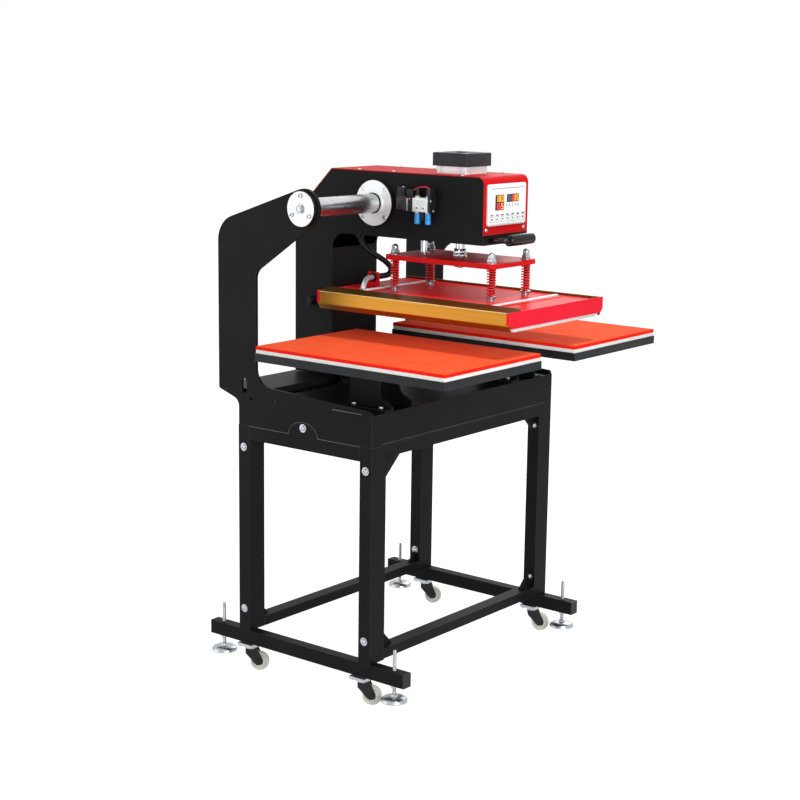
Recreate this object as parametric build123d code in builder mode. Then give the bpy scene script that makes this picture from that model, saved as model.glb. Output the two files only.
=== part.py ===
from build123d import *
import math
import os

os.makedirs("parts", exist_ok=True)

# A heat press with two stations on a wheeled stand, in millimetres
# X runs along the shaft, -Y points to the operator, +Z up from the floor

# Stand
frame_width = 805.0
tube_wall = 2.5
beam_width = 30.0
beam_height = 37.0
beam_bottom = 78.0
beam_front = -252.0
beam_rear = 424.0
end_cap_thickness = 3.0
end_cap_plug = 12.0
leg_width = 58.0
leg_depth = 38.0
front_leg_front = -141.0
rear_leg_front = 277.0
stand_top = 681.0
side_rail_height = 38.0
front_rail_height = 31.0
cross_tube_height = 27.0
front_cross_bottom = 118.0
rear_cross_bottom = 115.0
gusset_thickness = 5.0
top_gusset = 50.0
front_gusset = 53.0
rear_gusset = 32.0
tab_radius = 51.0
tab_height = 34.0

# Casters and levelling feet
wheel_radius = 25.0
wheel_width = 20.0
wheel_side_gap = 0.5
axle_radius = 4.0
caster_trail = 24.0
trail_direction = (0.617, -0.787)
front_caster_y = -108.0
rear_caster_y = 287.0
fork_sheet = 3.0
fork_eye = 9.0
crown_thickness = 4.0
race_radius = 17.0
race_height = 8.0
kingpin_radius = 5.0
kingpin_length = 6.5
mount_plate_thickness = 4.0
caster_plate_thickness = 3.0
caster_plate_width = 54.0
caster_plate_depth = 50.0
caster_bolt_x = 42.0
caster_bolt_y = 36.0
caster_bolt_radius = 2.5
foot_stud_radius = 5.0
foot_stud_top = 169.0
foot_pad_radius = 35.0
foot_pad_bottom = 33.0
foot_pad_height = 14.0
front_foot_y = -211.0
rear_foot_y = 387.0
weld_nut_across = 17.0
weld_nut_height = 8.0

# Side plates and the base between them
side_plate_thickness = 8.0
boss_thickness = 10.0
boss_radius = 50.0
shaft_y = 87.2
shaft_z = 1262.1
shaft_radius = 25.0
arm_top_slope = 19.0
arm_under_slope = 34.3
column_front = 251.0
column_rear = 386.0
base_top_front = 774.2
base_top_rear = 792.0
base_rear_z = 770.0
base_rear_low_z = 745.8
base_rear_low_y = 313.5
slot_y = 294.0
slot_z = 785.5
slot_length = 39.0
slot_width = 20.0
panel_thickness = 2.0
panel_flange = 20.0
panel_height = 83.0
deck_rear = 200.0
deck_thickness = 3.0
shelf_top = 778.0
shelf_front = 240.0
shelf_height = 88.0
shelf_wall = 3.0
guide_rail_thickness = 12.0
guide_rail_height = 40.0
guide_rail_bottom = 715.0
backing_thickness = 6.0
backing_length = 120.0
end_disc_radius = 45.0
end_disc_thickness = 12.0
end_disc_bolt_circle = 33.0
end_disc_bolt_radius = 4.0
centre_bolt_radius = 6.0

# Platens
station_x = 278.5
platen_y = -120.0
platen_width = 400.0
platen_length = 600.0
tray_lip = 2.0
tray_bottom = 874.0
tray_height = 21.0
tray_sheet = 2.0
board_thickness = 11.0
pad_thickness = 7.5
pad_rounding = 3.0
pedestal_spacing = 80.0
pedestal_sheet = 5.0
pedestal_flange = 25.0
pedestal_rear = 0.0
pedestal_front = -97.0
pedestal_foot_front = -139.0

# Head
head_x = -20.0
head_width = 194.0
head_sheet = 6.0
cover_sheet = 2.0
head_front = -262.5
head_height = 172.0
head_corner = 20.0
head_slope_y = 241.5
head_rear = 370.0
head_bottom = 1174.0
head_top = head_bottom + head_height
head_throat_radius = 43.0
leg_front = 240.0
leg_bottom = 782.0
cover_bottom = head_bottom + 26.0
base_plate_thickness = 8.0
nose_depth = 14.0
bearing_flange_radius = 60.5
bearing_flange_thickness = 10.0
bearing_bolt_circle = 51.0
bearing_bolt_radius = 4.0
bearing_head_radius = 6.5
bearing_head_height = 5.0
bearing_sink = 4.0
sleeve_radius = 30.0
sleeve_length = 42.0
web_thickness = 3.0
carriage_width = 160.0
carriage_thickness = 10.0
carriage_bottom = 700.0
carriage_top = 860.0
wear_pad_width = 140.0
bumper_y = 305.0
bumper_z = 983.0
bumper_radius = 12.0
bumper_length = 18.5

# Panel and handle
panel_bezel_width = 168.0
panel_bezel_bottom = cover_bottom + 22.0
panel_bezel_top = head_top - 19.0
panel_bezel_depth = 6.0
panel_bevel = 4.0
display_depth = 1.0
display_top = panel_bezel_top - 27.0
display_bottom = display_top - 39.0
key_bottom = panel_bezel_bottom + 11.0
key_height = 12.0
key_width = 14.0
key_proud = 0.8
key_count = 7
handle_y = -308.0
handle_z = head_bottom + 13.5
handle_tube_radius = 7.0
handle_span = 134.0
handle_bend = 15.0
grip_length = 106.0
grip_radius = 15.0

# Pneumatics
cylinder_y = -120.0
cylinder_square = 96.0
cylinder_bore = 40.0
cylinder_foot = 18.0
cylinder_top = head_top + 19.0
cap_square = 111.0
cap_height = 34.0
cap_plug_height = 4.0
cap_plug_radius = 7.0
tie_rod_radius = 4.0
tie_rod_offset = 40.0
piston_rod_radius = 12.5
piston_bottom = cylinder_top - 35.0
piston_thickness = 20.0
valve_depth = 27.0
valve_bracket_sheet = 2.0
valve_body_front = -106.0
valve_body_rear = -57.0
valve_body_bottom = 1250.0
valve_body_top = 1285.0
coil_front = -37.0
coil_rear = -7.0
coil_depth = 31.0
terminal_top = 1310.0
core_radius = 11.0
valve_bracket_front = -128.0
fitting_radius = 7.0
fitting_length = 30.0
muffler_radius = 5.0
fitting_ys = (-98.0, -64.0)
muffler_y = -81.0

# Heater and press plate
heater_width = 424.0
heater_front = -429.5
heater_rear = 190.0
heater_bottom = 982.0
heater_plate_thickness = 18.0
heater_inset = 15.0
heater_end_inset = 5.0
skirt_bottom = 984.0
skirt_tuck = 10.0
skirt_face_bottom = 999.0
skirt_edge = 1031.0
skirt_ridge = 1038.5
skirt_ridge_width = 4.0
heater_end_bottom = 991.5
heater_top = 1032.5
skirt_band = 50.0
heater_sheet = 2.0
heater_end_thickness = 3.0
strip_length = 290.0
strip_width = 20.0
strip_thickness = 3.0
strip_offset = 210.0
plate_bottom = 1117.0
plate_thickness = 12.0
plate_length = 350.0
plate_width = 204.0
plate_corner = 15.0
post_spacing_x = 154.0
post_spacing_y = 312.0
post_radius = 6.0
spacer_radius = 13.0
spacer_height = 14.0
nut_across = 19.0
nut_height = 22.0
nut_dome = 11.0
spring_wire = 4.0
spring_outer = 25.0
spring_curls = 9
coupling_across = 36.0
coupling_height = 21.0
lower_nut_across = 28.0
lower_nut_height = 15.0
stud_radius = 8.0
guide_rod_y = 0.0
guide_rod_radius = 8.5
guide_rod_top = 1290.0
guide_washer_radius = 16.0
guide_washer_thickness = 4.0
guide_stud_end = 1104.0
guide_nut_height = 10.0
bush_radius = 13.0
bush_flange_radius = 18.0
bush_flange_thickness = 6.0
bush_top = 1200.0
bracket_x = -70.0
bracket_y = 130.0
bracket_size = 40.0
bracket_sheet = 3.0
bracket_foot = 20.0
ring_radius = 13.0
ring_depth = 10.0
conduit_z = 1058.0
conduit_radius = 8.0
sleeve_tube_radius = 7.0

# Clearances
running_fit = 0.05
sliding_fit = 0.1
body_gap = 0.3
bolt_clearance = 0.3

# Places that follow from the sizes above
half_width = frame_width / 2
beam_inner = half_width - beam_width
beam_middle = half_width - beam_width / 2
beam_top = beam_bottom + beam_height
leg_inner = half_width - leg_width
front_leg = (front_leg_front, front_leg_front + leg_depth)
rear_leg = (rear_leg_front, rear_leg_front + leg_depth)
plate_inner = half_width - side_plate_thickness
boss_inner = half_width - boss_thickness
deck_top = stand_top + panel_height
head_left = head_x - head_width / 2
head_right = head_x + head_width / 2
head_inner_left = head_left + head_sheet
head_inner_right = head_right - head_sheet
base_plate_top = head_bottom + base_plate_thickness
tray_top = tray_bottom + tray_height
board_top = tray_top + board_thickness
plate_top = plate_bottom + plate_thickness
spacer_top = heater_top + spacer_height
post_xs = (head_x - post_spacing_x / 2, head_x + post_spacing_x / 2)
post_ys = (platen_y - post_spacing_y / 2, platen_y + post_spacing_y / 2)
post_points = [(x, y) for x in post_xs for y in post_ys]
sides = ((-1, "left"), (1, "right"))
ends = ((front_caster_y, front_foot_y, "front"), (rear_caster_y, rear_foot_y, "rear"))


def save(piece, name):
    """Names a finished sub-part and writes it."""
    piece.part.label = name
    export_step(piece.part, f"parts/{name}.step")


def save_group(pieces, name):
    """Writes several pieces, each a solid of its own, as one sub-part."""
    group = Compound([solid for piece in pieces for solid in piece.part.solids()])
    group.label = name
    export_step(group, f"parts/{name}.step")


def across(side, inner, outer):
    """The X limits between two distances from the middle, on the left (-1) or right (1)."""
    return tuple(sorted((side * inner, side * outer)))


def block(x, y, z, mode=Mode.ADD):
    """Adds or cuts a box between pairs of limits."""
    with Locations(((x[0] + x[1]) / 2, (y[0] + y[1]) / 2, (z[0] + z[1]) / 2)):
        Box(x[1] - x[0], y[1] - y[0], z[1] - z[0], mode=mode)


def bar_x(x, y, z, radius, mode=Mode.ADD):
    """Adds or cuts a round bar along X, between two limits."""
    with Locations(((x[0] + x[1]) / 2, y, z)):
        Cylinder(radius, x[1] - x[0], rotation=(0, 90, 0), mode=mode)


def bar_y(x, y, z, radius, mode=Mode.ADD):
    """Adds or cuts a round bar along Y, between two limits."""
    with Locations((x, (y[0] + y[1]) / 2, z)):
        Cylinder(radius, y[1] - y[0], rotation=(90, 0, 0), mode=mode)


def bar_z(x, y, z, radius, mode=Mode.ADD):
    """Adds or cuts an upright round bar, between two heights."""
    with Locations((x, y, (z[0] + z[1]) / 2)):
        Cylinder(radius, z[1] - z[0], mode=mode)


def slab(plane, corners, thickness, mode=Mode.ADD):
    """Adds or cuts a plate with an outline of corners (u, v, fillet radius) on a plane."""
    with BuildSketch(plane) as outline:
        with BuildLine():
            FilletPolyline(
                *[(u, v) for u, v, radius in corners],
                radius=[radius for u, v, radius in corners],
                close=True,
            )
        make_face()
    extrude(outline.sketch, amount=thickness, mode=mode)


def hexagons(plane, points, width, height, mode=Mode.ADD):
    """Adds or cuts hexagon heads or nuts, at points of a plane and standing up from it."""
    with BuildSketch(plane) as outline:
        with Locations(*points):
            RegularPolygon(width / 2, 6, major_radius=False)
    extrude(outline.sketch, amount=height, mode=mode)


def discs(plane, points, radius, height, mode=Mode.ADD):
    """Adds or cuts round shanks, heads or holes, at points of a plane and along its normal."""
    with BuildSketch(plane) as outline:
        with Locations(*points):
            Circle(radius)
    extrude(outline.sketch, amount=height, mode=mode)


def tube_along(path, radius, name):
    """Sweeps a round tube along a path and prints how its volume compares with its length."""
    with BuildSketch(Plane(origin=path @ 0, z_dir=path % 0)) as section:
        Circle(radius)
    sweep(section.sketch, path=path)
    length = path.length
    print(name, "length", round(length, 1), "section times length", round(math.pi * radius**2 * length))


def bend_radii(points):
    """The fillet radius at each corner of a cord's route, as large as its two runs allow."""
    radii = []
    for before, here, after in zip(points, points[1:], points[2:]):
        run_in = Vector(here) - Vector(before)
        run_out = Vector(after) - Vector(here)
        half_turn = math.radians(run_in.get_angle(run_out)) / 2
        radii.append(0.45 * min(run_in.length, run_out.length) / math.tan(half_turn))
    return radii


# Stand: the two base beams that carry the casters and the levelling feet
for side, name in sides:
    with BuildPart() as base_beam:
        beam_y = (beam_front + end_cap_thickness, beam_rear - end_cap_thickness)
        block(across(side, beam_inner, half_width), beam_y, (beam_bottom, beam_top))
        block(
            across(side, beam_inner + tube_wall, half_width - tube_wall),
            beam_y,
            (beam_bottom + tube_wall, beam_top - tube_wall),
            Mode.SUBTRACT,
        )
        for foot_y in (front_foot_y, rear_foot_y):
            bar_z(
                side * beam_middle,
                foot_y,
                (beam_bottom, beam_top),
                foot_stud_radius + bolt_clearance,
                Mode.SUBTRACT,
            )
    save(base_beam, f"{name}_base_beam")

with BuildPart() as beam_end_caps:
    for side, name in sides:
        for outside, inside in ((beam_front, 1), (beam_rear, -1)):
            seat = outside + inside * end_cap_thickness
            plug_end = seat + inside * end_cap_plug
            block(
                across(side, beam_inner, half_width),
                tuple(sorted((outside, seat))),
                (beam_bottom, beam_top),
            )
            block(
                across(
                    side,
                    beam_inner + tube_wall + sliding_fit,
                    half_width - tube_wall - sliding_fit,
                ),
                tuple(sorted((seat, plug_end))),
                (beam_bottom + tube_wall + sliding_fit, beam_top - tube_wall - sliding_fit),
            )
save(beam_end_caps, "beam_end_caps")

# Legs: upright box tubes with a closed foot, bolted through their outer wall
leg_bolt_inset = 60.0
leg_bolt_heights = (beam_top + leg_bolt_inset, stand_top - leg_bolt_inset)
leg_bolt_radius = 4.0
leg_bolt_head = 13.0
leg_bolt_head_height = 5.0
for leg_y, name in ((front_leg, "front"), (rear_leg, "rear")):
    with BuildPart() as legs:
        for side, side_name in sides:
            block(across(side, leg_inner, half_width), leg_y, (beam_top, stand_top))
            block(
                across(side, leg_inner + tube_wall, half_width - tube_wall),
                (leg_y[0] + tube_wall, leg_y[1] - tube_wall),
                (beam_top + tube_wall, stand_top),
                Mode.SUBTRACT,
            )
            for bolt_z in leg_bolt_heights:
                bar_x(
                    across(side, half_width - tube_wall, half_width),
                    sum(leg_y) / 2,
                    bolt_z,
                    leg_bolt_radius + bolt_clearance,
                    Mode.SUBTRACT,
                )
    save(legs, f"{name}_legs")


def cross_tube(x, y, z, along_x):
    """Adds a hollow box tube that is open at both ends."""
    block(x, y, z)
    inner_x = x if along_x else (x[0] + tube_wall, x[1] - tube_wall)
    inner_y = (y[0] + tube_wall, y[1] - tube_wall) if along_x else y
    block(inner_x, inner_y, (z[0] + tube_wall, z[1] - tube_wall), Mode.SUBTRACT)


def gusset(side, y, corner_z, size, upwards):
    """Adds a three-cornered plate where a cross tube meets the inner face of a leg."""
    foot_x = side * leg_inner
    tip_x = side * (leg_inner - size)
    plane = Plane.XZ.offset(-(y + gusset_thickness / 2))
    corners = [
        (foot_x, corner_z, 0),
        (tip_x, corner_z, 0),
        (foot_x, corner_z + upwards * size, 0),
    ]
    slab(plane, corners, gusset_thickness)


tab_centre_z = stand_top + tab_height - tab_radius
tab_bolt = (shaft_y, stand_top + 20.0)
with BuildPart() as top_rails:
    for side, name in sides:
        cross_tube(
            across(side, beam_inner, half_width),
            (front_leg[1], rear_leg[0]),
            (stand_top - side_rail_height, stand_top),
            False,
        )
        plate_x = across(side, plate_inner, half_width)
        with BuildSketch(Plane.YZ.offset(plate_x[0])) as tab:
            with Locations((shaft_y, tab_centre_z)):
                Circle(tab_radius)
            with Locations((shaft_y, stand_top - tab_radius)):
                Rectangle(2 * tab_radius, 2 * tab_radius, mode=Mode.SUBTRACT)
            with Locations(tab_bolt):
                Circle(leg_bolt_radius + bolt_clearance, mode=Mode.SUBTRACT)
        extrude(tab.sketch, amount=side_plate_thickness)
    for leg_y in (front_leg, rear_leg):
        cross_tube((-leg_inner, leg_inner), leg_y, (stand_top - front_rail_height, stand_top), True)
        for side, name in sides:
            gusset(side, sum(leg_y) / 2, stand_top - front_rail_height, top_gusset, -1)
save(top_rails, "top_rails")

with BuildPart() as lower_cross_tubes:
    for leg_y, bottom, size in (
        (front_leg, front_cross_bottom, front_gusset),
        (rear_leg, rear_cross_bottom, rear_gusset),
    ):
        top = bottom + cross_tube_height
        cross_tube((-leg_inner, leg_inner), leg_y, (bottom, top), True)
        for side, name in sides:
            gusset(side, sum(leg_y) / 2, top, size, 1)
save(lower_cross_tubes, "lower_cross_tubes")

# Casters: a welded plate, the bolted top plate with its race, the fork, the axle and the wheel
caster_plate_top = beam_bottom - mount_plate_thickness
race_top = caster_plate_top - caster_plate_thickness
race_bottom = race_top - race_height
crown_top = race_bottom - body_gap
crown_bottom = crown_top - crown_thickness
caster_points = [(side * beam_middle, caster_y) for side, n in sides for caster_y, f, e in ends]
caster_bolt_points = [
    (x + dx * caster_bolt_x / 2, y + dy * caster_bolt_y / 2)
    for x, y in caster_points
    for dx in (-1, 1)
    for dy in (-1, 1)
]
with BuildPart() as mount_plates:
    for x, y in caster_points:
        plate_x = (x - caster_plate_width / 2, x + caster_plate_width / 2)
        plate_y = (y - caster_plate_depth / 2, y + caster_plate_depth / 2)
        block(plate_x, plate_y, (caster_plate_top, beam_bottom))
    discs(
        Plane.XY.offset(caster_plate_top),
        caster_bolt_points,
        caster_bolt_radius + sliding_fit,
        mount_plate_thickness,
        Mode.SUBTRACT,
    )
with BuildPart() as race_plates:
    for x, y in caster_points:
        plate_x = (x - caster_plate_width / 2, x + caster_plate_width / 2)
        plate_y = (y - caster_plate_depth / 2, y + caster_plate_depth / 2)
        block(plate_x, plate_y, (race_top, caster_plate_top))
        bar_z(x, y, (race_bottom, race_top), race_radius)
        bar_z(
            x,
            y,
            (race_bottom, race_bottom + kingpin_length + body_gap),
            kingpin_radius + running_fit,
            Mode.SUBTRACT,
        )
    discs(
        Plane.XY.offset(race_top),
        caster_bolt_points,
        caster_bolt_radius + sliding_fit,
        caster_plate_thickness,
        Mode.SUBTRACT,
    )
save_group([mount_plates, race_plates], "caster_plates")

trail_x, trail_y = trail_direction
cheek_inner = wheel_width / 2 + wheel_side_gap
cheek_outer = cheek_inner + fork_sheet
crown_rear = -14.0
crown_front = 18.0
cheek_low = wheel_radius - fork_eye
cheek_corners = [
    (crown_rear, crown_top, 0),
    (crown_front, crown_top, 0),
    (caster_trail + fork_eye, wheel_radius + fork_eye / 2, 3.0),
    (caster_trail + fork_eye, cheek_low, fork_eye * 0.9),
    (caster_trail - fork_eye, cheek_low, fork_eye * 0.7),
    (crown_rear, crown_bottom - fork_eye, 4.0),
]
axle_head_across = 11.0
axle_head_height = 3.5
for side, side_name in sides:
    for caster_y, foot_y, end_name in ends:
        corner = f"{end_name}_{side_name}"
        swivel = (side * beam_middle, caster_y, 0)
        wheel_plane = Plane(
            origin=swivel, x_dir=(trail_x, trail_y, 0), z_dir=(trail_y, -trail_x, 0)
        )
        axle_at = [(caster_trail, wheel_radius)]
        with BuildPart() as fork:
            slab(wheel_plane.offset(cheek_inner), cheek_corners, fork_sheet)
            slab(wheel_plane.offset(-cheek_outer), cheek_corners, fork_sheet)
            crown_corners = [
                (crown_rear, crown_bottom, 0),
                (crown_front, crown_bottom, 0),
                (crown_front, crown_top, 0),
                (crown_rear, crown_top, 0),
            ]
            slab(wheel_plane.offset(-cheek_outer), crown_corners, 2 * cheek_outer)
            bar_z(swivel[0], swivel[1], (crown_top, race_bottom + kingpin_length), kingpin_radius)
            discs(
                wheel_plane.offset(-cheek_outer),
                axle_at,
                axle_radius + running_fit,
                2 * cheek_outer,
                Mode.SUBTRACT,
            )
        with BuildPart() as axle:
            discs(wheel_plane.offset(-cheek_outer), axle_at, axle_radius, 2 * cheek_outer)
            hexagons(
                wheel_plane.offset(cheek_outer), axle_at, axle_head_across, axle_head_height
            )
            hexagons(
                wheel_plane.offset(-cheek_outer - axle_head_height),
                axle_at,
                axle_head_across,
                axle_head_height,
            )
        save_group([fork, axle], f"caster_fork_{corner}")

        with BuildPart() as wheel:
            with BuildSketch(wheel_plane.offset(-wheel_width / 2)) as tread:
                with Locations(*axle_at):
                    Circle(wheel_radius)
            extrude(tread.sketch, amount=wheel_width)
            fillet(wheel.edges().filter_by(GeomType.CIRCLE), 3.0)
            for face in (wheel_width / 2 - 3.0, -wheel_width / 2):
                with BuildSketch(wheel_plane.offset(face)) as recess:
                    with Locations(*axle_at):
                        Circle(wheel_radius * 0.76)
                        Circle(wheel_radius * 0.36, mode=Mode.SUBTRACT)
                extrude(recess.sketch, amount=3.0, mode=Mode.SUBTRACT)
            discs(
                wheel_plane.offset(-wheel_width / 2),
                axle_at,
                axle_radius + running_fit,
                wheel_width,
                Mode.SUBTRACT,
            )
        save(wheel, f"caster_wheel_{corner}")

        # Levelling foot: a domed pad with a hexagon neck, on a threaded stud
        foot_x = side * beam_middle
        with BuildPart() as foot_pad:
            foot_pad_top = foot_pad_bottom + foot_pad_height
            with BuildSketch(Plane.XZ) as dome:
                with BuildLine():
                    Polyline(
                        (0, foot_pad_top),
                        (0, foot_pad_bottom),
                        (foot_pad_radius, foot_pad_bottom),
                        (foot_pad_radius, foot_pad_bottom + 4.0),
                    )
                    ThreePointArc(
                        (foot_pad_radius, foot_pad_bottom + 4.0),
                        (foot_pad_radius * 0.68, foot_pad_top - 3.5),
                        (weld_nut_across / 2 + 2.0, foot_pad_top),
                    )
                    Line((weld_nut_across / 2 + 2.0, foot_pad_top), (0, foot_pad_top))
                make_face()
            foot_axis = Axis((foot_x, foot_y, 0), (0, 0, 1))
            revolve(dome.sketch.moved(Location((foot_x, foot_y, 0))), foot_axis)
        with BuildPart() as foot_stud:
            hexagons(
                Plane.XY.offset(foot_pad_top), [(foot_x, foot_y)], weld_nut_across, 5.0
            )
            bar_z(foot_x, foot_y, (foot_pad_top, foot_stud_top), foot_stud_radius)
        save_group([foot_pad, foot_stud], f"levelling_foot_{corner}")

# Side plates: the base, column and arm are one plate, thickened to a boss round the shaft
under_slope = math.radians(arm_under_slope)
top_slope = math.radians(arm_top_slope)
arm_top_y = shaft_y + boss_radius * math.sin(top_slope)
arm_top_z = shaft_z + boss_radius * math.cos(top_slope)
arm_low_y = shaft_y - boss_radius * math.sin(under_slope)
arm_low_z = shaft_z - boss_radius * math.cos(under_slope)
arm_rear_z = arm_top_z - (column_rear - arm_top_y) * math.tan(top_slope)
throat_z = arm_low_z - (column_front - arm_low_y) * math.tan(under_slope)
panel_rear = front_leg_front + panel_thickness
side_outline = [
    (arm_top_y, arm_top_z, 0),
    (column_rear, arm_rear_z, 70.0),
    (column_rear, base_rear_z, 6.0),
    (base_rear_low_y, base_rear_low_z, 25.0),
    (base_rear_low_y, stand_top, 0),
    (panel_rear, stand_top, 0),
    (panel_rear, base_top_front, 8.0),
    (column_front, base_top_rear, 45.0),
    (column_front, throat_z, 34.0),
    (arm_low_y, arm_low_z, 0),
]
shelf_bolts = [(shelf_front + 30.0, shelf_top - 24.0), (column_rear - 31.0, shelf_top - 8.0)]
disc_bolts = [
    (
        shaft_y + end_disc_bolt_circle * math.sin(math.radians(turn)),
        shaft_z + end_disc_bolt_circle * math.cos(math.radians(turn)),
    )
    for turn in (0, 120, 240)
]
for side, name in sides:
    plate_x = across(side, plate_inner, half_width)
    boss_x = across(side, boss_inner, half_width)
    backing_x = across(side, plate_inner - backing_thickness, plate_inner)
    plane = Plane.YZ.offset(plate_x[0])
    with BuildPart() as side_plate:
        slab(plane, side_outline, side_plate_thickness)
        bar_x(boss_x, shaft_y, shaft_z, boss_radius)
        bar_x(boss_x, shaft_y, shaft_z, shaft_radius + running_fit, Mode.SUBTRACT)
        discs(
            Plane.YZ.offset(boss_x[0]),
            disc_bolts,
            end_disc_bolt_radius + running_fit,
            boss_thickness,
            Mode.SUBTRACT,
        )
        with BuildSketch(plane) as openings:
            with Locations((slot_y, slot_z)):
                SlotOverall(slot_length, slot_width, rotation=90)
            with Locations((shaft_y, tab_centre_z)):
                Circle(tab_radius + body_gap)
            with Locations(*shelf_bolts):
                Circle(leg_bolt_radius + bolt_clearance)
        extrude(openings.sketch, amount=side_plate_thickness, mode=Mode.SUBTRACT)
        block(
            backing_x,
            (shaft_y - backing_length / 2, shaft_y + backing_length / 2),
            (stand_top + 4.0, stand_top + 64.0),
        )
        discs(
            Plane.YZ.offset(backing_x[0]),
            [tab_bolt],
            leg_bolt_radius + bolt_clearance,
            backing_thickness,
            Mode.SUBTRACT,
        )
    save(side_plate, f"{name}_side_plate")

with BuildPart() as upper_shaft:
    bar_x((-half_width, half_width), shaft_y, shaft_z, shaft_radius)
    for side, name in sides:
        bar_x(
            across(side, half_width - 30.0, half_width),
            shaft_y,
            shaft_z,
            centre_bolt_radius + running_fit,
            Mode.SUBTRACT,
        )
save(upper_shaft, "upper_shaft")

with BuildPart() as shaft_end_discs:
    for side, name in sides:
        disc_x = across(side, half_width, half_width + end_disc_thickness)
        bar_x(disc_x, shaft_y, shaft_z, end_disc_radius)
        bar_x(disc_x, shaft_y, shaft_z, centre_bolt_radius + running_fit, Mode.SUBTRACT)
        discs(
            Plane.YZ.offset(disc_x[0]),
            disc_bolts,
            end_disc_bolt_radius + running_fit,
            end_disc_thickness,
            Mode.SUBTRACT,
        )
save(shaft_end_discs, "shaft_end_discs")

# Base: the folded front panel, the deck, the rear box beam and the bar that steadies the head
with BuildPart() as front_panel:
    block((-half_width, half_width), (front_leg_front, panel_rear), (stand_top, deck_top))
    block(
        (-plate_inner + body_gap, plate_inner - body_gap),
        (panel_rear, panel_rear + panel_flange),
        (stand_top, stand_top + panel_thickness),
    )
save(front_panel, "front_panel")

pedestal_xs = [
    (side * station_x + inner * pedestal_spacing / 2, inner)
    for side, n in sides
    for inner in (-1, 1)
]
foot_bolt_offset = pedestal_sheet / 2 + pedestal_flange / 2
foot_bolt_ys = (pedestal_rear - pedestal_flange, pedestal_foot_front + pedestal_flange)
foot_bolt_points = [
    (x + outwards * foot_bolt_offset, y) for x, outwards in pedestal_xs for y in foot_bolt_ys
]
foot_bolt_radius = 3.0
with BuildPart() as deck_plate:
    block(
        (-plate_inner, plate_inner),
        (panel_rear, deck_rear),
        (deck_top - deck_thickness, deck_top),
    )
    discs(
        Plane.XY.offset(deck_top - deck_thickness),
        foot_bolt_points,
        foot_bolt_radius + sliding_fit,
        deck_thickness,
        Mode.SUBTRACT,
    )
save(deck_plate, "deck_plate")

shelf_z = (shelf_top - shelf_height, shelf_top)
rail_z = (guide_rail_bottom, guide_rail_bottom + guide_rail_height)
rail_bolt_xs = [plate_inner * share for share in (-0.75, -0.25, 0.25, 0.75)]
rail_bolts = [(x, sum(rail_z) / 2) for x in rail_bolt_xs]
beam_rear_low = (base_rear_low_y - shelf_wall, base_rear_low_z + shelf_wall)
with BuildPart() as rear_box_beam:
    with BuildSketch(Plane.YZ.offset(-plate_inner)) as beam_section:
        with BuildLine():
            Polyline(
                (shelf_front, shelf_z[0]),
                (beam_rear_low[0], shelf_z[0]),
                beam_rear_low,
                (column_rear, base_rear_z),
                (column_rear, shelf_top),
                (shelf_front, shelf_top),
                close=True,
            )
        make_face()
        offset(amount=-shelf_wall, kind=Kind.INTERSECTION, mode=Mode.SUBTRACT)
    extrude(amount=2 * plate_inner)
    discs(
        Plane.XZ.offset(-shelf_front - shelf_wall),
        rail_bolts,
        foot_bolt_radius + sliding_fit,
        shelf_wall,
        Mode.SUBTRACT,
    )
save(rear_box_beam, "rear_box_beam")

rail_front = shelf_front - guide_rail_thickness
rail_screw_radius = 5.0
rail_screw_height = 3.0
rail_screw_depth = rail_screw_height + sliding_fit
with BuildPart() as lower_guide_rail:
    block((-plate_inner, plate_inner), (rail_front, shelf_front), rail_z)
    discs(
        Plane.XZ.offset(-shelf_front),
        rail_bolts,
        foot_bolt_radius + sliding_fit,
        guide_rail_thickness,
        Mode.SUBTRACT,
    )
    discs(
        Plane.XZ.offset(-rail_front - rail_screw_depth),
        rail_bolts,
        rail_screw_radius + sliding_fit,
        rail_screw_depth,
        Mode.SUBTRACT,
    )
save(lower_guide_rail, "lower_guide_rail")

# Platens: each tray stands on two curved plates with a flanged foot
pedestal_outline = [
    (pedestal_rear, deck_top, 0),
    (pedestal_foot_front, deck_top, 0),
    (pedestal_foot_front, deck_top + 12.0, 8.0),
    (pedestal_front, deck_top + 36.0, 22.0),
    (pedestal_front, tray_bottom, 0),
    (pedestal_rear, tray_bottom, 0),
]
with BuildPart() as platen_pedestals:
    for x, outwards in pedestal_xs:
        plate_x = (x - pedestal_sheet / 2, x + pedestal_sheet / 2)
        slab(Plane.YZ.offset(plate_x[0]), pedestal_outline, pedestal_sheet)
        edge = x + outwards * pedestal_sheet / 2
        block(
            tuple(sorted((edge, edge + outwards * pedestal_flange))),
            (pedestal_foot_front, pedestal_rear),
            (deck_top, deck_top + pedestal_sheet),
        )
        block(
            tuple(sorted((edge, edge - outwards * pedestal_flange))),
            (pedestal_front, pedestal_rear),
            (tray_bottom - pedestal_sheet, tray_bottom),
        )
    discs(
        Plane.XY.offset(deck_top),
        foot_bolt_points,
        foot_bolt_radius + sliding_fit,
        pedestal_sheet,
        Mode.SUBTRACT,
    )
save(platen_pedestals, "platen_pedestals")

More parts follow.
